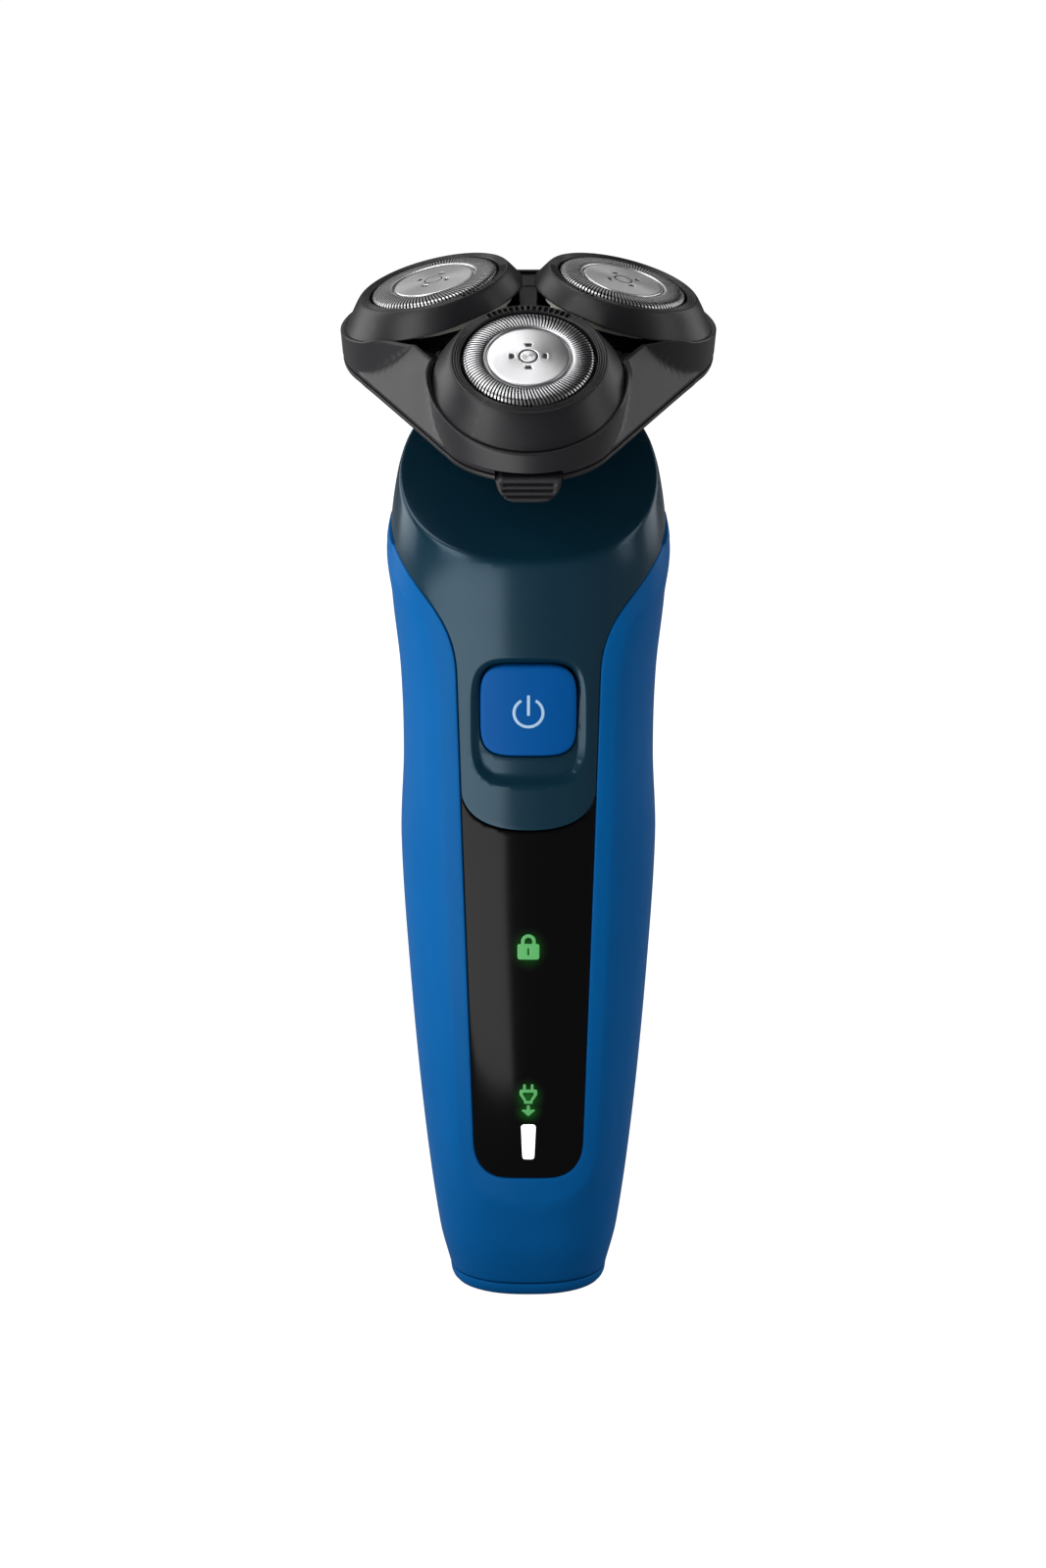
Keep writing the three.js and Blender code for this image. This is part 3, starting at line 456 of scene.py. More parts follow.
def brushed(name, color, rough):
    """Steel with fine turned rings round the local Z axis."""
    m = material(name, color, rough, metal=1.0, vary=0.04, grain=600, bump=0.02)
    tree = m.node_tree
    place = add_node(tree, "TexCoord").outputs["Object"]
    split = add_node(tree, "SeparateXYZ", {"Vector": place}).outputs
    flat = add_node(tree, "CombineXYZ", {"X": split["X"], "Y": split["Y"]})
    length = add_node(tree, "VectorMath", {0: flat.outputs["Vector"]}, operation="LENGTH")
    rings = add_node(tree, "TexNoise", {"Scale": 9000, "Detail": 2,
                                        "W": length.outputs["Value"]}, noise_dimensions="1D")
    bump = add_node(tree, "Bump", {"Strength": 0.12, "Distance": 0.0001,
                                   "Height": rings.outputs["Fac"]})
    set_inputs(tree, shader_of(m), {"Anisotropic": 0.75, "Normal": bump.outputs["Normal"]})
    return m


def glowing(m, spots, color, strength):
    """Soft light round the lights behind the window. A spot is x, z, half width, half height."""
    tree = m.node_tree
    place = add_node(tree, "TexCoord").outputs["Object"]
    total = None
    for x, z, wide, tall in spots:
        shift = add_node(tree, "Mapping", {
            "Location": (x * MM, 0, z * MM), "Scale": (wide * MM, 1, tall * MM),
            "Vector": place}, vector_type="TEXTURE")
        ball = add_node(tree, "TexGradient", {"Vector": shift.outputs["Vector"]},
                        gradient_type="QUADRATIC_SPHERE").outputs["Fac"]
        if total is None:
            total = ball
        else:
            total = add_node(tree, "Math", {0: total, 1: ball},
                             operation="MAXIMUM").outputs["Value"]
    scaled = add_node(tree, "Math", {0: total, 1: strength}, operation="MULTIPLY")
    set_inputs(tree, shader_of(m), {"Emission Color": (*color, 1),
                                    "Emission Strength": scaled.outputs["Value"]})


def lit(name, color, strength):
    """The face of a small light."""
    m = material(name, color, 0.35, vary=0.03, bump=0.01)
    set_inputs(m.node_tree, shader_of(m), {"Emission Color": (*color, 1),
                                           "Emission Strength": strength})
    return m


BLUE = material("blue plastic", (0.001, 0.108, 0.345), 0.42, vary=0.03, bump=0.03,
                specular=0.07)
BUTTON_BLUE = material("button blue", (0.0008, 0.085, 0.32), 0.4, vary=0.03, bump=0.03,
                       specular=0.08)
PETROL = material("petrol plastic", (0.004, 0.034, 0.060), 0.24, metal=0.3, vary=0.03, grain=3000,
                  bump=0.004, specular=0.42)
BLACK = material("window black", (0.001, 0.001, 0.001), 0.15, vary=0.05, bump=0.01,
                 specular=0.17)
GRIP = material("grip rubber", (0.006, 0.012, 0.02), 0.7, vary=0.08, grain=500, bump=0.5,
                specular=0.3)
CHARCOAL = material("charcoal plastic", (0.0115, 0.0108, 0.013), 0.40, vary=0.05, bump=0.06,
                    wear=0.2, specular=0.42)
DARK = material("dark plastic", (0.012, 0.012, 0.014), 0.55, vary=0.06, bump=0.08, specular=0.3)
# Darker than the plain steel: painted shade for the cutters that lie in the dark under the guards'
# slots.
SHADED_CUTTER_STEEL = material("cutter steel with painted shade", (0.10, 0.10, 0.105), 0.4, metal=1.0, vary=0.05, grain=400)
NATURAL = material("acetal", (0.62, 0.60, 0.54), 0.45, vary=0.04, bump=0.05)
STEEL = material("plain steel", (0.55, 0.55, 0.56), 0.32, metal=1.0, vary=0.05, grain=400)
GUARD = brushed("guard steel", (0.62, 0.62, 0.63), 0.3)
CAP = brushed("cap steel", (0.74, 0.74, 0.75), 0.3)
# Dark: the engraved marks on the guard caps, and painted shade on the walls of the guards' slots.
MARKS_AND_SLOT_SHADE = material("engraved mark and painted slot shade", (0.05, 0.05, 0.055), 0.6, metal=0.5)
BRASS = material("brass", (0.55, 0.38, 0.14), 0.3, metal=1.0, vary=0.05)
BOARD = material("circuit board", (0.01, 0.09, 0.035), 0.4, vary=0.12, coat=0.3)
CELL = material("cell sleeve", (0.03, 0.14, 0.32), 0.3, vary=0.04, coat=0.2)
RUBBER = material("seal rubber", (0.012, 0.012, 0.012), 0.75, vary=0.08)
GREEN = lit("green light", (0.08, 0.34, 0.10), 0.42)
WHITE = lit("white light", (0.95, 0.97, 1.0), 1.2)
MARK = material("symbol print", (0.42, 0.62, 0.82), 0.4, vary=0.03)

LIGHT_SPOTS = [(0, 63.8, 3.6, 4.2), (0, 37.6, 3.2, 3.8), (0, 35, 2.8, 2.6)]
glowing(BLACK, LIGHT_SPOTS, (0.02, 0.3, 0.03), 0.35)


def for_each_head(*stems):
    return [f"{stem}_{side}" for stem in stems for side in HEAD_ANGLES]


CAD_LOOKS = [
    (DARK, ["charging_socket", "motor_mount", "chamber_floor", *for_each_head("flex_ring")]),
    (NATURAL, ["chassis", "sun_gear", *for_each_head("planet_gear", "retainer")]),
    (STEEL, ["motor", "motor_shaft", "drive_shaft", "switch_dome", "battery_tab_lower",
             "battery_tab_upper", "mount_screw_left", "mount_screw_right",
             *for_each_head("spindle")]),
    # The cutters get the darker steel: painted shade.
    (SHADED_CUTTER_STEEL, for_each_head("cutter")),
    (BRASS, ["charging_pin_left", "charging_pin_right"]),
    (BOARD, ["circuit_board"]),
    (CELL, ["battery"]),
    (RUBBER, ["shaft_seal"]),
]
for look, names in CAD_LOOKS:
    for name in names:
        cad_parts[name].data.materials.clear()
        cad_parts[name].data.materials.append(look)


# ---- Handle panels ----
def xz(points):
    """An outline given in x and z on the front, as distance round the handle and height."""
    points = np.asarray(points, float)
    return np.stack([front_p(points[:, 0], points[:, 1]), points[:, 1]], -1)


SIDE_P = SPLIT * SURFACE_R
BACK_P = 2 * math.pi * SURFACE_R - SIDE_P
BASE_H = 2.6
SHOULDER_H = 134.0


def panel_edge():
    """Right edge of the upper panel, from its lowest point to the side."""
    on_front = np.vstack([
        curve((0, 84.3), (9.9, 84.3), (11.1, 90)),
        curve((11.1, 90), (11.7, 110), steps=20),
        curve((11.7, 110), (11.9, 119.5), (17, 122.4), (20, 126.8), steps=24),
    ])
    low = xz(on_front)
    corner = xz([(20, 126.8)])[0]
    rise = curve(corner, (corner[0] + 3.2, 129.6), (SIDE_P - 3, 133.4), (SIDE_P, SHOULDER_H))
    return np.vstack([low, rise, [[SIDE_P, SHOULDER_H]]])


def window_edge():
    """Right edge of the display window, from its lowest point up to the upper panel."""
    return xz(np.vstack([
        curve((0, 22.9), (3.6, 22.9), steps=6),
        curve((3.6, 22.9), (9.0, 22.9), (9.15, 29.0), steps=16),
        curve((9.15, 29.0), (11.1, 90), steps=30),
    ]))


def moved(line, distance):
    """An open line that runs upwards, moved to its right by distance."""
    d = np.gradient(line, axis=0)
    n = np.stack([d[:, 1], -d[:, 0]], -1)
    n /= np.linalg.norm(n, axis=1, keepdims=True)
    out = line + n * distance
    out[0, 0] = max(out[0, 0], 0) if line[0, 0] == 0 else out[0, 0]
    return out


PANEL_EDGE, WINDOW_EDGE = panel_edge(), window_edge()


def squircle(width, low, high, power=4.4):
    """A square with swollen round corners, on the handle's front."""
    a = np.linspace(0, 2 * math.pi, 96, endpoint=False)
    x = width / 2 * np.sign(np.cos(a)) * np.abs(np.cos(a)) ** (2 / power)
    z = (high - low) / 2 * np.sign(np.sin(a)) * np.abs(np.sin(a)) ** (2 / power)
    return xz(np.stack([x, z + (high + low) / 2], -1))


BUTTON_LOW, BUTTON_HIGH, BUTTON_WIDE = 97.0, 112.2, 15.9
RECESS = squircle(18.9, 92.0, 113.7, 4.0)
RECESS_DEEP = 0.85


def top_line(p, inset):
    """Height value that lies inset millimetres before the neck on the sloping top."""
    angle = p / SURFACE_R
    crest = crease_height(angle)
    cx, cy = section(angle, crest)
    return crest + np.hypot(cx, cy - NECK_Y) - inset


def smooth_step(v):
    """Rises smoothly from 0 to 1."""
    v = np.clip(v, 0, 1)
    return v * v * (3 - 2 * v)


RECESS_RIM = 1.0


def panel_proud(q):
    """Sinks the recess round the button."""
    depth = distance_to(q, RECESS) * np.where(inside(q, RECESS), 1, -1)
    return -RECESS_DEEP * np.clip(depth / RECESS_RIM, 0, 1)


def closed_line(loop):
    return np.vstack([loop, loop[:1]])


def crest_folds(start, end):
    """Lines along the crease round the top, to lie on its rounding."""
    p = np.linspace(start, end, 200)
    crest = crease_height(p / SURFACE_R)
    return [np.stack([p, crest + CREASE_ROUND * k], -1) for k in (-1, -0.5, 0, 0.5, 1)]


recess_folds = [closed_line(offset(RECESS, d))
                for d in (-0.12, 0.12, RECESS_RIM - 0.12, RECESS_RIM + 0.12)]
NECK_GAP = 10.1  # the top ends this far before the neck's axis
across = np.linspace(SIDE_P, 0, 40)
upper_half = np.vstack([
    PANEL_EDGE,
    [[SIDE_P, top_line(np.array([SIDE_P]), NECK_GAP)[0]]],
    np.stack([across, top_line(across, NECK_GAP)], -1)[1:-1],
])
plate("upper_panel_front", mirrored(upper_half), handle_surface, PETROL, "handle",
      ["upper_panel"], [squircle(BUTTON_WIDE + 0.7, BUTTON_LOW - 0.35,
                                                   BUTTON_HIGH + 0.35)],
      fillet=0.18, thick=1.5, spacing=0.8, proud=panel_proud,
      folds=recess_folds + crest_folds(-SIDE_P, SIDE_P))

back = np.linspace(SIDE_P + 0.15, BACK_P - 0.15, 80)
rim = crease_height(back / SURFACE_R)
plate("upper_panel_back", np.vstack([np.stack([back, rim - 2.2], -1),
                                     np.stack([back, top_line(back, NECK_GAP)], -1)[::-1]]),
      handle_surface, PETROL, "handle", (), fillet=0.15, thick=1.5,
      folds=crest_folds(SIDE_P, BACK_P))

right = moved(PANEL_EDGE, SEAM)
right[-1] = [SIDE_P, SHOULDER_H - SEAM]
window_gap = moved(WINDOW_EDGE, SEAM)
window_gap[0] = [0, WINDOW_EDGE[0, 1] - SEAM]
inner_edge = np.vstack([window_gap, right[right[:, 1] > 90.2]])
RIDGE = 0.5


def ridge_line():
    """Soft crease that runs beside the window and the upper panel."""
    low = xz(np.vstack([
        curve((0, 18.1), (6.5, 18.1), (11.2, 20.5), (11.4, 28)),
        curve((11.4, 28), (12.4, 50), (13.9, 92), steps=20),
        curve((13.9, 92), (14.2, 113.5), (14.8, 117.5), (18.7, 121.0), steps=20),
    ]))
    end = low[-1]
    return np.vstack([low, curve(end, (end[0] + 4.5, 124), (SIDE_P, 130)), [[SIDE_P, 130]]])


RIDGE_LINE = mirrored(ridge_line())[::-1]
INNER_LINE = mirrored(inner_edge)[::-1]


def housing_proud(q):
    """Raises the blue housing to a soft ridge beside the window and the panel."""
    near = distance_to(q, INNER_LINE, closed=False)
    ridge = distance_to(q, RIDGE_LINE, closed=False)
    within = inside(q, RIDGE_LINE)
    share = near / np.maximum(near + ridge, 1e-6)
    return RIDGE * np.where(within, share, 1 - smooth_step(ridge / 6.0))


bottom = np.stack([np.linspace(0, SIDE_P, 30), np.full(30, BASE_H)], -1)
outer_right = np.vstack([bottom, [[SIDE_P, SHOULDER_H - SEAM]]])
whole = np.vstack([outer_right, inner_edge[::-1], (inner_edge * [-1, 1])[1:],
                   (outer_right[::-1] * [-1, 1])[:-1]])
ridge_folds = [offset(RIDGE_LINE, d)[1:-1] for d in (-0.35, 0, 0.35)]
plate("front_housing", whole, handle_surface, BLUE, "handle", ["front_housing"],
      fillet=0.2, thick=1.6, spacing=1.0, proud=housing_proud, folds=ridge_folds)

rear = np.linspace(SIDE_P + 0.2, BACK_P - 0.2, 90)
rear_top = crease_height(rear / SURFACE_R) - 2.5
plate("rear_housing", np.vstack([np.stack([rear, np.full_like(rear, BASE_H)], -1),
                                 np.stack([rear, rear_top], -1)[::-1]]),
      handle_surface, GRIP, "handle", ["rear_housing"], fillet=0.25, thick=2,
      spacing=1.2)

# Display window: closed above by the rounded end of the upper panel
arc = PANEL_EDGE[PANEL_EDGE[:, 1] <= 90.0] - [0, SEAM]
window_half = np.vstack([WINDOW_EDGE[WINDOW_EDGE[:, 1] < 89.6], arc[::-1]])
window_half = window_half[~((window_half[:, 0] == 0) & (window_half[:, 1] > 80))]
plate("display_window", mirrored(window_half), handle_surface, BLACK, "handle",
      ["display_window"], fillet=0.12, thick=1.2, spacing=0.9)


# ---- Lights, button and base ----
def icon(name, outline, look, body="handle", lift=0.03, holes=()):
    """A small flat mark that stands for the CAD node of the same name."""
    return plate(name, xz(outline), handle_surface, look, body, [name],
                 [xz(h) for h in holes], fillet=0.03, thick=0.12, spacing=0.35, edge=0.1,
                 proud=lambda q: np.full(len(q), lift))


def round_box(x0, x1, z0, z1, r):
    """A rectangle with rounded corners."""
    return np.vstack([
        curve((x1 - r, z0), (x1, z0), (x1, z0 + r), steps=8),
        curve((x1, z1 - r), (x1, z1), (x1 - r, z1), steps=8),
        curve((x0 + r, z1), (x0, z1), (x0, z1 - r), steps=8),
        curve((x0, z0 + r), (x0, z0), (x0 + r, z0), steps=8),
    ])


def arc_points(cx, cz, r, start, end, steps=24):
    a = np.radians(np.linspace(start, end, steps))
    return np.stack([cx + r * np.cos(a), cz + r * np.sin(a)], -1)


lock = np.vstack([
    curve((1.3, 62.0), (1.82, 62.0), (1.82, 62.5), steps=6),
    [(1.82, 64.5), (1.65, 64.7), (1.22, 64.75)],
    arc_points(0, 65.2, 1.22, 0, 180),
    [(-1.22, 64.75), (-1.65, 64.7), (-1.82, 64.5)],
    curve((-1.82, 62.5), (-1.82, 62.0), (-1.3, 62.0), steps=6),
    [(-1.3, 62.0)],
])
shackle = np.vstack([[(-0.64, 64.75), (0.64, 64.75)], arc_points(0, 65.2, 0.64, 0, 180)])
keyhole = round_box(-0.16, 0.16, 62.75, 64.0, 0.12)
icon("lock_light", lock, GREEN, holes=[shackle, keyhole])
plug_right = np.array([
    (0.7, 36.4), (0.75, 36.9), (1.48, 38.0), (1.48, 38.75), (1.3, 38.95), (0.88, 38.95),
    (0.88, 39.8), (0.75, 39.9), (0.53, 39.9), (0.42, 39.8), (0.42, 38.95)])
plug_inner = np.array([(0.25, 36.9), (0.95, 38.1), (0.85, 38.4), (-0.85, 38.4), (-0.95, 38.1),
                       (-0.25, 36.9)])
icon("plug_light", mirrored(plug_right), GREEN, holes=[plug_inner])
arrow_right = np.array([(0, 34.15), (1.13, 35.15), (1.0, 35.35), (0.26, 35.3), (0.26, 36.1)])
icon("arrow_light", mirrored(arrow_right)[:-1], GREEN)
bar = np.vstack([
    curve((0.5, 26.3), (1.0, 26.3), (1.02, 27.0), steps=8),
    curve((1.24, 32.0), (1.24, 32.65), (0.6, 32.65), steps=8),
    curve((-0.6, 32.65), (-1.24, 32.65), (-1.24, 32.0), steps=8),
    curve((-1.02, 27.0), (-1.0, 26.3), (-0.5, 26.3), steps=8),
])
icon("battery_light", bar, WHITE)

plate("power_button", squircle(BUTTON_WIDE, BUTTON_LOW, BUTTON_HIGH), handle_surface,
      BUTTON_BLUE, "power_button", ["power_button"], fillet=0.5, thick=3,
      spacing=0.7, edge=0.35, proud=lambda q: np.full(len(q), 0.12))
SYMBOL_Z, SYMBOL_R, SYMBOL_LINE, SYMBOL_GAP = 104.4, 2.36, 0.24, 30
ring = np.vstack([
    arc_points(0, SYMBOL_Z, SYMBOL_R + SYMBOL_LINE, 90 + SYMBOL_GAP, 450 - SYMBOL_GAP, 60),
    arc_points(0, SYMBOL_Z, SYMBOL_R - SYMBOL_LINE, 450 - SYMBOL_GAP, 90 + SYMBOL_GAP, 60),
])
icon("power_symbol_ring", ring, MARK, "power_button", 0.15)
icon("power_symbol_bar", round_box(-SYMBOL_LINE, SYMBOL_LINE, SYMBOL_Z - 0.5, SYMBOL_Z + 3.0, 0.2),
     MARK, "power_button", 0.15)

INLET_Y = 5.6
BASE_STEPS = 120
around = np.linspace(0, 2 * math.pi, BASE_STEPS, endpoint=False)
bx, by = section(around, np.full_like(around, 2.4))


def base_loop(inset, z):
    """Outline of the handle's foot, moved inwards, at a height."""
    k = 1 - inset / np.hypot(bx, by)
    return np.stack([bx * k, by * k, np.full_like(bx, z)], -1)


base_rows = [base_loop(i, z) for i, z in (
    (4, 4.3), (4, 2.35), (0.2, 2.35), (0.05, 2.3), (0, 2.1), (0.12, 1.3), (0.35, 0.75),
    (0.75, 0.3), (1.3, 0.04), (1.9, 0))]
hole = round_box(-4.7, 4.7, INLET_Y - 2.7, INLET_Y + 2.7, 2.2)
hole = resample(hole, None, count=BASE_STEPS)
start = np.argmin(np.abs(np.arctan2(hole[:, 0], -(hole[:, 1] - INLET_Y))))
hole = np.roll(hole, -start, 0)
turning = (hole[:, 0] * np.roll(hole[:, 1], -1) - hole[:, 1] * np.roll(hole[:, 0], -1)).sum()
hole = hole if turning > 0 else np.roll(hole[::-1], 1, 0)
base_rows += [np.c_[hole + (base_loop(1.9, 0)[:, :2] - hole) * s, np.zeros(BASE_STEPS)]
              for s in (0.6, 0.3, 0.06)]
base_rows += [np.c_[hole, np.full(BASE_STEPS, z)] for z in (0.15, 2.0, 4.3)]
base_quads = grid_faces(len(base_rows), BASE_STEPS, close_rows=True, flip=True)
piece("base_cap", np.vstack(base_rows), base_quads, BLUE, "handle", ["base_cap"])


# ---- Head frames ----
HEAD = Matrix.Translation(Vector(HEAD_AT) * MM) @ Matrix.Rotation(HEAD_LEAN, 4, "X")
UNIT = HEAD @ Matrix.Rotation(-math.pi / 2, 4, "Z")


def ring_matrix(angle):
    """Frame of the shaving head at an angle round the unit."""
    return (UNIT @ Matrix.Rotation(math.radians(angle), 4, "Z")
            @ Matrix.Translation((HEAD_RADIUS * MM, 0, 0)) @ Matrix.Rotation(RING_TILT, 4, "Y"))


NECK_R, NECK_TOP = 9.5, -18.5
turned("neck", [
    (NECK_R - 1.6, -31), (NECK_R, -31), (NECK_R, -21), (NECK_R - 0.25, -20.7),
    (NECK_R - 0.25, -20.1), (NECK_R, -19.8), (NECK_R, NECK_TOP - 0.7),
    (NECK_R - 0.2, NECK_TOP - 0.2), (NECK_R - 0.7, NECK_TOP), (4.3, NECK_TOP),
    (4.3, NECK_TOP - 1.6), (NECK_R - 1.6, NECK_TOP - 1.6)], DARK, "handle", ["neck"], UNIT)

# ---- Housing of the shaving unit: three cups joined by flat sides, at its rim and its top ----
RIM_W, RIM_C, RIM_R, RIM_SIDE = -12.3, 18.8, 14.6, 24.0
TOP_W, TOP_C, TOP_R, TOP_SIDE = -3.2, 17.1, 16.6, 20.1


def fold(angle):
    """Angle from the nearest shaving head."""
    third = 2 * math.pi / 3
    return np.abs((angle + third / 2) % third - third / 2)


def soft_max(a, b, soft):
    """The larger of a and b, with the change between them smoothed."""
    return soft * np.logaddexp(a / soft, b / soft)


def housing_radius(angle, w, thin=0.0):
    """Radius of the housing round the head axis, thinned towards the inside."""
    soft = 0.35
    psi = fold(angle)
    share = np.clip((w - RIM_W) / (TOP_W - RIM_W), 0, 1)
    c = RIM_C + (TOP_C - RIM_C) * share
    r = RIM_R + (TOP_R - RIM_R) * share - thin
    side = RIM_SIDE + (TOP_SIDE - RIM_SIDE) * share - thin
    cup = c * np.cos(psi) + np.sqrt(np.maximum(r * r - (c * np.sin(psi)) ** 2, 0.01))
    turn = math.pi / 3 - np.arctan(c * math.sin(math.pi / 3) / side)
    flat = side / np.cos(math.pi / 3 - psi)
    both = soft_max(cup, flat, soft) - soft * math.log(2) * np.exp(-((cup - flat) / soft) ** 2)
    blend = smooth_step((psi - turn) / 0.12 + 0.5)
    return cup * (1 - blend) + np.maximum(both, cup) * blend


SKIRT_R, SKIRT_SHIFT, SKIRT_DEPTH, SKIRT_RISE, SKIRT_CLEAR = 15.3, 1.0, 4.2, 0.8, 1.0


def skirt(phi):
    """Lower edge of a bezel ring at an angle from its outward side: radius and depth."""
    depth = SKIRT_DEPTH + SKIRT_RISE * np.cos(phi)
    across = SKIRT_R + SKIRT_SHIFT * np.cos(phi)
    half = math.sin(math.pi / 3)
    room = (HEAD_RADIUS - depth * math.sin(RING_TILT)) * half - SKIRT_CLEAR
    pull = np.abs(np.sin(phi)) * 0.5 - np.cos(phi) * math.cos(RING_TILT) * half
    limit = np.where(pull > 0.02, room / np.maximum(pull, 0.02), 99)
    return -soft_max(-across, -limit, 0.15), depth


phis = np.linspace(0, math.radians(118), 200)
edge_r, edge_d = skirt(phis)
edge_rho = HEAD_RADIUS + edge_r * np.cos(phis) * math.cos(RING_TILT) - edge_d * math.sin(RING_TILT)
edge_psi = np.arctan2(edge_r * np.sin(phis), edge_rho)
edge_w = -edge_r * np.cos(phis) * math.sin(RING_TILT) - edge_d * math.cos(RING_TILT)
rising = edge_psi == np.maximum.accumulate(edge_psi)


def top_edge(angle):
    """Height of the housing's top edge: it follows the skirts and is high between them."""
    w = np.interp(fold(angle), edge_psi[rising], edge_w[rising] + 0.25)
    between = smooth_step((fold(angle) - math.radians(33)) / math.radians(16))
    return np.minimum(w + between * (TOP_W - w), TOP_W)


ROUND = 540  # points round a ring
unit_angle = np.linspace(0, 2 * math.pi, ROUND, endpoint=False)
HOLDER_LOW, LIP_TOP, LIP_LOW = -13.2, -13.42, -14.3
high = top_edge(unit_angle)


def ring_row(radius, w):
    """Points round the head axis at a radius and a height."""
    w = np.broadcast_to(w, unit_angle.shape)
    return np.stack([radius * np.cos(unit_angle), radius * np.sin(unit_angle), w], -1)


def outer_row(w, inset=0.0, thin=0.0):
    """Points round the housing's wall at a height."""
    return ring_row(housing_radius(unit_angle, w, thin) - inset, w)


WALL_TOP = 0.85
rows = [outer_row(np.full_like(high, w), 0, 1.5) for w in (HOLDER_LOW, -12.4, -11.0)]
rows += [outer_row(high + (-11.0 - high) * s, 0, WALL_TOP + 0.4 * s)
         for s in (0.7, 0.4, 0.15, 0.03)]
rows += [outer_row(high + rise, inset) for rise, inset in (
    (0, WALL_TOP - 0.15), (0.02, 0.35), (-0.04, 0.12), (-0.16, 0.02))]
rows += [outer_row(high + (RIM_W - high) * s)
         for s in (0.06, 0.14, 0.24, 0.36, 0.48, 0.6, 0.72, 0.84, 0.93, 0.98)]
rows += [outer_row(np.full_like(high, w), i) for w, i in (
    (RIM_W - 0.05, 0.0), (RIM_W - 0.2, 0.12), (-12.8, 0.2), (-13.1, 0.26), (HOLDER_LOW, 0.38))]
holder = piece("head_holder", np.vstack(rows[::-1]), grid_faces(len(rows), ROUND, close_rows=True),
               CHARCOAL, "head_holder", ["head_holder"], UNIT, sharp=50)

RIM_ROW = housing_radius(unit_angle, np.full_like(high, LIP_LOW))


def bowl_row(share, w):
    """Points between the neck's socket and the rim: share 0 is the socket, 1 the rim."""
    return ring_row(11.7 + (RIM_ROW - 11.7) * share, w)


bowl = [ring_row(RIM_ROW - i, w) for i, w in (
    (1.9, LIP_TOP), (0.45, LIP_TOP), (0.2, LIP_TOP - 0.06), (0.14, LIP_TOP - 0.2),
    (0.24, LIP_LOW + 0.25), (0.34, LIP_LOW + 0.05), (0.7, LIP_LOW - 0.12))]
for t in np.linspace(0.04, 1, 14):
    bowl.append(bowl_row((1 - t) ** 0.8 * 0.95, -14.45 - 7.15 * t ** 0.95))
bowl += [ring_row(np.full_like(high, r), w) for r, w in (
    (11.5, -21.75), (NECK_R + 0.6, -21.75), (NECK_R + 0.4, -21.6), (NECK_R + 0.4, -18.1),
    (2.4, -18.1), (2.4, -16.6))]
bowl += [bowl_row(0.72, -16.6), bowl_row(0.85, -15.4), ring_row(RIM_ROW - 2.4, -14.6)]
chamber = piece("hair_chamber", np.vstack(bowl),
                grid_faces(len(bowl), ROUND, close_rows=True, flip=True), CHARCOAL,
                "shaving_unit", ["hair_chamber"], UNIT, sharp=50)

LATCH_WIDE, LATCH_LOW, LATCH_HIGH, LATCH_OUT = 10.5, -17.7, -13.1, 33.5
for ob in (holder, chamber):
    cut(ob, block((26.4, -LATCH_WIDE / 2 - 0.15, LATCH_LOW - 0.2),
                  (40, LATCH_WIDE / 2 + 0.15, LATCH_HIGH + 0.7), UNIT))


def latch_surface(p, h):
    """The latch's flat front, p across it and h up it."""
    return np.stack([np.full_like(p, LATCH_OUT), p, h], -1)


def latch_proud(q):
    """Sinks three finger grooves."""
    ribs = sum(np.exp(-((q[:, 1] - LATCH_HIGH + d) / 0.2) ** 2) for d in (1.3, 2.4, 3.5))
    wide = smooth_step((LATCH_WIDE / 2 - 0.9 - np.abs(q[:, 0])) / 0.6)
    return -0.4 * ribs * wide


half = LATCH_WIDE / 2
latch_outline = np.vstack([
    curve((-half + 3.6, LATCH_LOW), (half - 3.6, LATCH_LOW), steps=8),
    curve((half - 3.6, LATCH_LOW), (half - 0.6, LATCH_LOW), (half, LATCH_HIGH - 0.8)),
    curve((half, LATCH_HIGH), (-half, LATCH_HIGH), steps=12),
    curve((-half, LATCH_HIGH - 0.8), (-half + 0.6, LATCH_LOW), (-half + 3.6, LATCH_LOW)),
])
plate("release_latch", latch_outline, latch_surface, CHARCOAL, "latch", ["release_latch"],
      fillet=0.4, thick=5, spacing=0.22, edge=0.2, proud=latch_proud,
      place=UNIT)

# Spider arms and hinge knuckles
def prism(name, first, second, place, bevel_width):
    """A solid between two outlines of as many points, with rounded edges."""
    n = len(first)
    faces = [tuple(range(n)), tuple(range(2 * n - 1, n - 1, -1))]
    faces += [(i, i + n, (i + 1) % n + n, (i + 1) % n) for i in range(n)]
    ob = piece(name, np.vstack([first, second]), faces, CHARCOAL, "head_holder", (),
               place)
    bevel = ob.modifiers.new("edges", "BEVEL")
    bevel.width, bevel.segments = bevel_width * MM, 3


ARM = np.array([(2.5, -6.1), (17, -6.1), (17, -7.5), (21.0, -7.5), (21.0, -5.8), (17.2, -5.6),
                (16.4, -4.5), (2.5, -4.5)])
SADDLE = np.array([(16.95, -1.9, -4.75), (18, -2.1, -4.5), (20.0, -3.1, -3.35), (20.0, 3.1, -3.35),
                   (18, 2.1, -4.5), (16.95, 1.9, -4.75)])
for k in range(3):
    m = UNIT @ Matrix.Rotation(math.radians(60 + 120 * k), 4, "Z")
    near, far = (np.c_[ARM[:, 0], np.full(len(ARM), y), ARM[:, 1]] for y in (-1.6, 1.6))
    prism(f"spider_arm_{k + 1}", near, far, m, 0.3)
    foot = SADDLE * [1, 1, 0] + [0, 0, -7.3]
    prism(f"frame_saddle_{k + 1}", SADDLE, foot, m, 0.2)
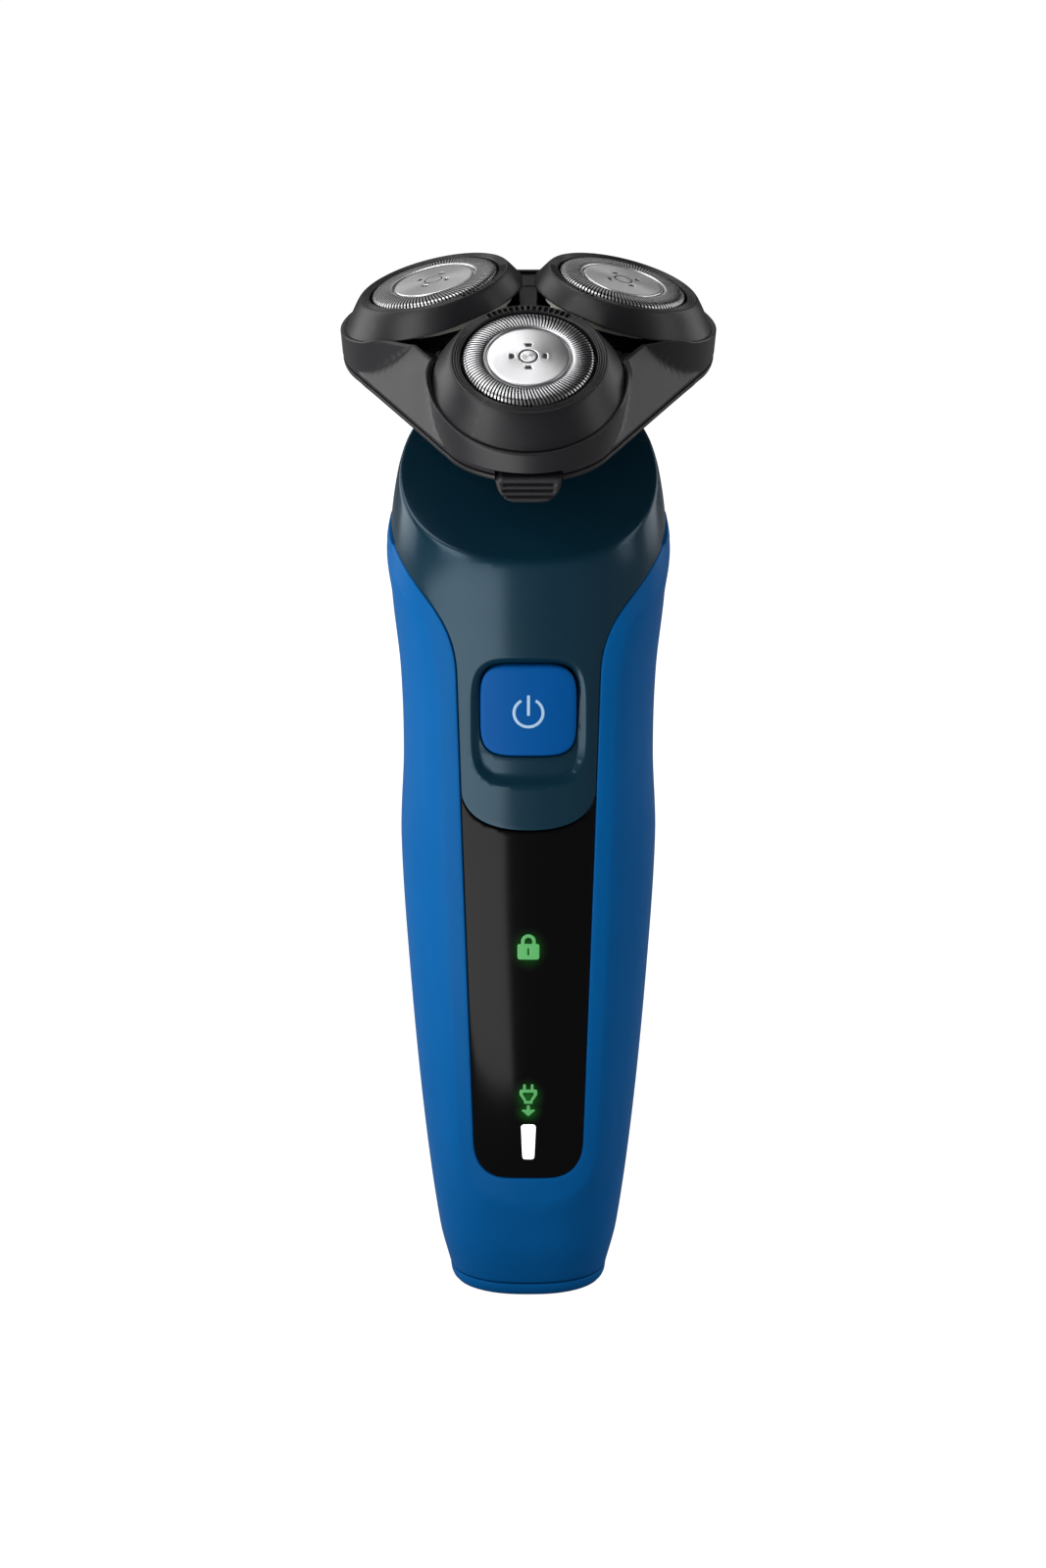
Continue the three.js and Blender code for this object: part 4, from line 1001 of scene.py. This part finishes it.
turned("spider_hub", [(0.01, -6.1), (3.1, -6.1), (3.4, -5.8), (3.4, -4.8), (3.1, -4.5),
                      (0.01, -4.5)], CHARCOAL, "head_holder", (), UNIT, 48)

HINGE_RHO, HINGE_W, HINGE_R = 25.4, -13.35, 1.7
hinge_at = UNIT @ Matrix.Translation((-HINGE_RHO * MM, 0, HINGE_W * MM)) @ Matrix.Rotation(
    math.radians(90), 4, "X")


def knuckle(name, low, top, body):
    """A barrel of the rear hinge, between two places along its pin."""
    profile = [(0.8, low), (HINGE_R - 0.25, low), (HINGE_R, low + 0.25), (HINGE_R, top - 0.25),
               (HINGE_R - 0.25, top), (0.8, top)]
    return turned(name, profile, CHARCOAL, body, (), hinge_at, 48)


knuckle("knuckle_holder", -3.4, 3.4, "head_holder")
knuckle("knuckle_chamber_1", -7.6, -3.7, "shaving_unit")
knuckle("knuckle_chamber_2", 3.7, 7.6, "shaving_unit")
turned("hinge_pin", [(0.01, -7.7), (0.5, -7.7), (0.7, -7.5), (0.7, 7.5), (0.5, 7.7), (0.01, 7.7)],
       STEEL, "shaving_unit", ["hinge_pin"], hinge_at, 32)

# ---- Shaving heads ----
GUARD_R = 10.7
BORE_R = GUARD_R + 0.3
FLAT_R = 12.35
SHOULDER = 0.09  # share of the skirt over which it bends down from the flat
GROOVES, GROOVE_DEEP = (11.3, 11.7, 12.1), 0.16
TOOTH_PITCH, TOOTH_DEEP = math.radians(4.6), 0.5


def bezel_rows(phi):
    """Cross-section of a bezel ring, from the foot of its bore over the top to its skirt."""
    r_edge, d_edge = skirt(phi)
    outer = np.cos(phi)
    section_rows = []
    for r, z in ((BORE_R, -1.9), (BORE_R, -0.35), (BORE_R + 0.04, -0.12), (BORE_R + 0.16, -0.02)):
        section_rows.append((np.full_like(phi, r), np.full_like(phi, z)))
    for r in np.linspace(BORE_R + 0.2, FLAT_R, 22):
        groove = sum(np.exp(-((r - g) / 0.075) ** 2) for g in GROOVES)
        fade = smooth_step((outer + 0.75) / 0.5)
        notch_zone = smooth_step((-outer - 0.80) / 0.06)
        turn = (phi - math.pi) / TOOTH_PITCH
        teeth = smooth_step((0.30 - np.abs(turn - np.round(turn))) / 0.1)
        slot = smooth_step((r - 11.15) / 0.1) * smooth_step((12.3 - r) / 0.1)
        z = -GROOVE_DEEP * groove * fade - TOOTH_DEEP * teeth * slot * notch_zone
        section_rows.append((np.full_like(phi, r), z))
    for t in np.r_[0.03, 0.06, 0.1, 0.14, np.linspace(0.2, 1, 14)]:
        bend = (t - SHOULDER * (1 - math.exp(-t / SHOULDER))) / (1 - SHOULDER)
        section_rows.append((FLAT_R + (r_edge - FLAT_R) * t, -(d_edge - 0.3) * bend ** 1.06))
    section_rows += [(r_edge + out, rise - d_edge) for out, rise in (
        (0.03, 0.15), (-0.03, 0.04), (-0.25, 0), (-0.9, 0), (-1.2, 0.9))]
    mid = FLAT_R + (r_edge - FLAT_R) * 0.35
    section_rows.append((mid - 0.3, np.full_like(phi, -2.2)))
    section_rows.append((np.full_like(phi, BORE_R + 0.8), np.full_like(phi, -1.9)))
    return section_rows


SLOTS, SLOT_STEPS = 104, 6  # slots round a guard, and points round each slot and its bar


def slotted_guard():
    """Guard with rows of slanted slots: two skins joined by walls round every slot. Also says which
    faces are the walls, which get a dark material as painted shade inside the slots."""
    columns = SLOTS * SLOT_STEPS
    radii = np.array([6.95, 7.0, 7.15, 7.35, 7.6, 8.0, 8.5, 9.0, 9.5, 9.9, 10.15, 10.35, 10.5,
                      10.62, GUARD_R, GUARD_R, GUARD_R])
    tops = np.array([-0.25, 0.12, 0.28, 0.33, 0.36, 0.38, 0.38, 0.36, 0.3, 0.2, 0.08, -0.08,
                     -0.3, -0.6, -1.0, -2.2, -3.6])
    slant = np.radians(5.0) * np.clip((radii - 7.2) / 3.4, 0, 1) ** 1.3
    base = np.linspace(0, 2 * math.pi, columns, endpoint=False)
    verts_top, verts_low = [], []
    for r, z, turn in zip(radii, tops, slant):
        a = base + turn
        verts_top.append(np.stack([r * np.cos(a), r * np.sin(a), np.full_like(a, z)], -1))
        inner_r = r - (0.3 if z < 0 and r > 8 else 0.0)
        verts_low.append(np.stack([inner_r * np.cos(a), inner_r * np.sin(a),
                                   np.full_like(a, z - 0.3)], -1))
    n = len(radii)
    solid = np.ones((n - 1, columns), bool)
    for j in range(n - 1):
        if radii[j] >= 7.3 and tops[j + 1] > -0.65:
            solid[j, np.arange(columns) % SLOT_STEPS < SLOT_STEPS // 2] = False
    offset_low = n * columns
    faces, walls = [], []
    for j in range(n - 1):
        for i in range(columns):
            if not solid[j, i]:
                continue
            m = (i + 1) % columns
            a, b, c, d = (row * columns + k for row, k in ((j, i), (j, m), (j + 1, m), (j + 1, i)))
            faces.append((a, d, c, b))
            faces.append(tuple(v + offset_low for v in (a, b, c, d)))
            borders = (((a, b), j > 0 and solid[j - 1, i]), ((c, d), j < n - 2 and solid[j + 1, i]),
                       ((b, c), solid[j, m]), ((d, a), solid[j, i - 1]))
            for (u, v), joined in borders:
                if not joined:
                    walls.append((u, v, v + offset_low, u + offset_low))
    # The slot walls are marked dark: painted shade inside the slots.
    dark = [False] * len(faces) + [True] * len(walls)
    return np.vstack(verts_top + verts_low), faces + walls, dark


def guard_cap():
    """Inner cap with a ring mark and four small marks sunk in its face. Also says which faces
    lie in a mark."""
    columns = 192
    a = np.linspace(0, 2 * math.pi, columns, endpoint=False)
    radii = np.r_[0.05, 0.4, 0.8, np.linspace(1.1, 1.7, 9), np.linspace(1.85, 3.3, 14),
                  np.linspace(3.6, 5.8, 8), 6.2, 6.45, 6.55, 6.6, 6.6]
    fall = np.r_[np.zeros(len(radii) - 3), 0.05, 0.16, 0.5]
    cap_rows, marked = [], []
    for r, drop in zip(radii, fall):
        z = 0.46 - 0.0035 * r * r - drop
        ring_mark = math.exp(-((r - 1.45) / 0.12) ** 2)
        aside = np.abs(((a + math.pi / 4) % (math.pi / 2)) - math.pi / 4) * r
        wide = 0.42 + 0.25 * (r - 2.3)
        marks = smooth_step((wide - aside) / 0.08 + 0.5) * smooth_step((r - 2.3) / 0.08 + 0.5)
        marks = marks * smooth_step((2.95 - r) / 0.08 + 0.5)
        z = z - 0.07 * ring_mark - 0.16 * marks
        cap_rows.append(np.stack([r * np.cos(a), r * np.sin(a), z], -1))
        marked.append(np.maximum(marks, ring_mark))
    faces = grid_faces(len(radii), columns)
    faces.append(tuple(range(columns)))
    pairs = [above + below for above, below in zip(marked, marked[1:])]
    dark = [d for pair in pairs for d in (pair + np.roll(pair, -1)) / 4 > 0.45] + [False]
    return np.vstack(cap_rows), faces, dark


WELL = [(0.01, -0.9), (6.9, -0.9), (6.9, -0.25), (6.7, -0.25), (6.7, -0.6), (0.01, -0.6)]
bezel_section = bezel_rows(unit_angle)
bezel_mesh = np.vstack([ring_row(r, z) for r, z in bezel_section])
bezel_quads = grid_faces(len(bezel_section), ROUND, close_rows=True, flip=True)
guard_verts, guard_quads, guard_slot_shade = slotted_guard()
cap_verts, cap_faces, cap_dark = guard_cap()
for side, angle in HEAD_ANGLES.items():
    place = ring_matrix(angle)
    piece(f"bezel_{side}", bezel_mesh, bezel_quads, CHARCOAL, f"head_{side}", [f"bezel_{side}"],
          place, sharp=50)
    # The guard's slot walls take the second, dark material: painted shade inside the slots.
    guard = piece(f"guard_{side}", guard_verts, guard_quads, [GUARD, MARKS_AND_SLOT_SHADE], f"head_{side}",
                  [f"guard_{side}"], place, own_frame=True)
    guard.data.polygons.foreach_set("material_index", guard_slot_shade)
    cap = piece(f"guard_cap_{side}", cap_verts, cap_faces, [CAP, MARKS_AND_SLOT_SHADE], f"head_{side}",
                [f"guard_cap_{side}"], place, sharp=60, own_frame=True)
    cap.data.polygons.foreach_set("material_index", cap_dark)
    turned(f"guard_well_{side}", WELL, GUARD, f"head_{side}", (), place, 64)

# ---- Studio ----
def pale_floor():
    """White paper that looks evenly lit, but throws little light back on the shaver."""
    m = bpy.data.materials.new("pale floor")
    m.use_nodes = True
    tree, shader = m.node_tree, shader_of(m)
    set_inputs(tree, shader, {"Base Color": (0.3, 0.3, 0.3, 1), "Roughness": 0.9,
                              "Specular IOR Level": 0.0})
    glow = add_node(tree, "Emission", {"Strength": 0.93}).outputs[0]
    nothing = add_node(tree, "BsdfTransparent", {"Color": (0, 0, 0, 1)}).outputs[0]
    seen = add_node(tree, "LightPath").outputs["Is Camera Ray"]
    dimmed = add_node(tree, "MixShader", {0: seen, 1: nothing, 2: glow}).outputs[0]
    both = add_node(tree, "AddShader", {0: shader.outputs[0], 1: dimmed})
    tree.links.new(both.outputs[0], tree.nodes["Material Output"].inputs["Surface"])
    return m


scene = bpy.context.scene
floor_mesh = bpy.data.meshes.new("floor")
floor_mesh.from_pydata([(-6, -6, 0), (6, -6, 0), (6, 6, 0), (-6, 6, 0)], [], [(0, 1, 2, 3)])
floor_mesh.materials.append(pale_floor())
floor = bpy.data.objects.new("floor", floor_mesh)
scene.collection.objects.link(floor)


def area_light(name, place, turn, width, length, radiance, lights_matt=True):
    """A rectangular light. The rotation turn points its -Z axis the way it shines."""
    data = bpy.data.lights.new(name, "AREA")
    data.shape, data.size, data.size_y = "RECTANGLE", width, length
    data.energy = radiance * math.pi * width * length
    ob = bpy.data.objects.new(name, data)
    ob.matrix_world = Matrix.Translation(place) @ turn
    ob.visible_camera = False
    ob.visible_diffuse = lights_matt
    scene.collection.objects.link(ob)


def softbox(name, azimuth, height, distance, width, tall, radiance):
    """A light that faces the shaver. Azimuth is in degrees, 0 in front and 90 on the right."""
    turn = math.radians(azimuth)
    place = Vector((distance * math.sin(turn), -distance * math.cos(turn), height))
    facing = (Vector((0, 0, 0.11)) - place).to_track_quat("-Z", "Y")
    area_light(name, place, facing.to_matrix().to_4x4(), width, tall, radiance)


softbox("left", -48, 0.35, 1.0, 0.50, 1.3, 3.7)
softbox("left_rear", -115, 0.4, 0.9, 0.6, 0.9, 2.8)
softbox("right", 75, 0.35, 1.0, 0.35, 1.2, 2.1)
softbox("right_rear", 120, 0.4, 0.9, 0.5, 0.9, 1.7)
softbox("back", -170, 0.75, 0.8, 0.9, 0.5, 0.5)
face_up = Matrix.Rotation(math.radians(-12), 4, "Z") @ Matrix.Rotation(math.pi, 4, "X")
area_light("low_left", (-0.24, -0.30, 0.004), face_up, 0.36, 0.5, 2.8)
area_light("above", (-0.30, 0.05, 0.9), Matrix.Identity(4), 0.5, 0.5, 3.6, lights_matt=False)

# The world is white paper to the camera, and dim to everything else
world = bpy.data.worlds.new("studio")
scene.world = world
world.use_nodes = True
tree = world.node_tree
path = add_node(tree, "LightPath").outputs
shade = add_node(tree, "Mix", {
    "A": (0.03, 0.03, 0.031, 1), "B": (0.30, 0.30, 0.305, 1),
    "Factor": path["Is Diffuse Ray"]}, data_type="RGBA").outputs["Result"]
paper = add_node(tree, "Mix", {"A": shade, "B": (1.0, 1.0, 1.0, 1),
                               "Factor": path["Is Camera Ray"]}, data_type="RGBA")
set_inputs(tree, tree.nodes["Background"], {"Color": paper.outputs["Result"]})

# Camera: raised 14.5 degrees, 700 mm from the middle of the shaver
RAISED, AWAY = math.radians(14.5), 0.7
camera = bpy.data.objects.new("camera", bpy.data.cameras.new("camera"))
camera.data.lens, camera.data.sensor_width = 95.24, 36
camera.location = (-0.0009, -AWAY * math.cos(RAISED), 0.0873 + AWAY * math.sin(RAISED))
camera.rotation_euler = (math.pi / 2 - RAISED, 0, 0)
scene.collection.objects.link(camera)
scene.camera = camera
scene.view_settings.view_transform = "Standard"
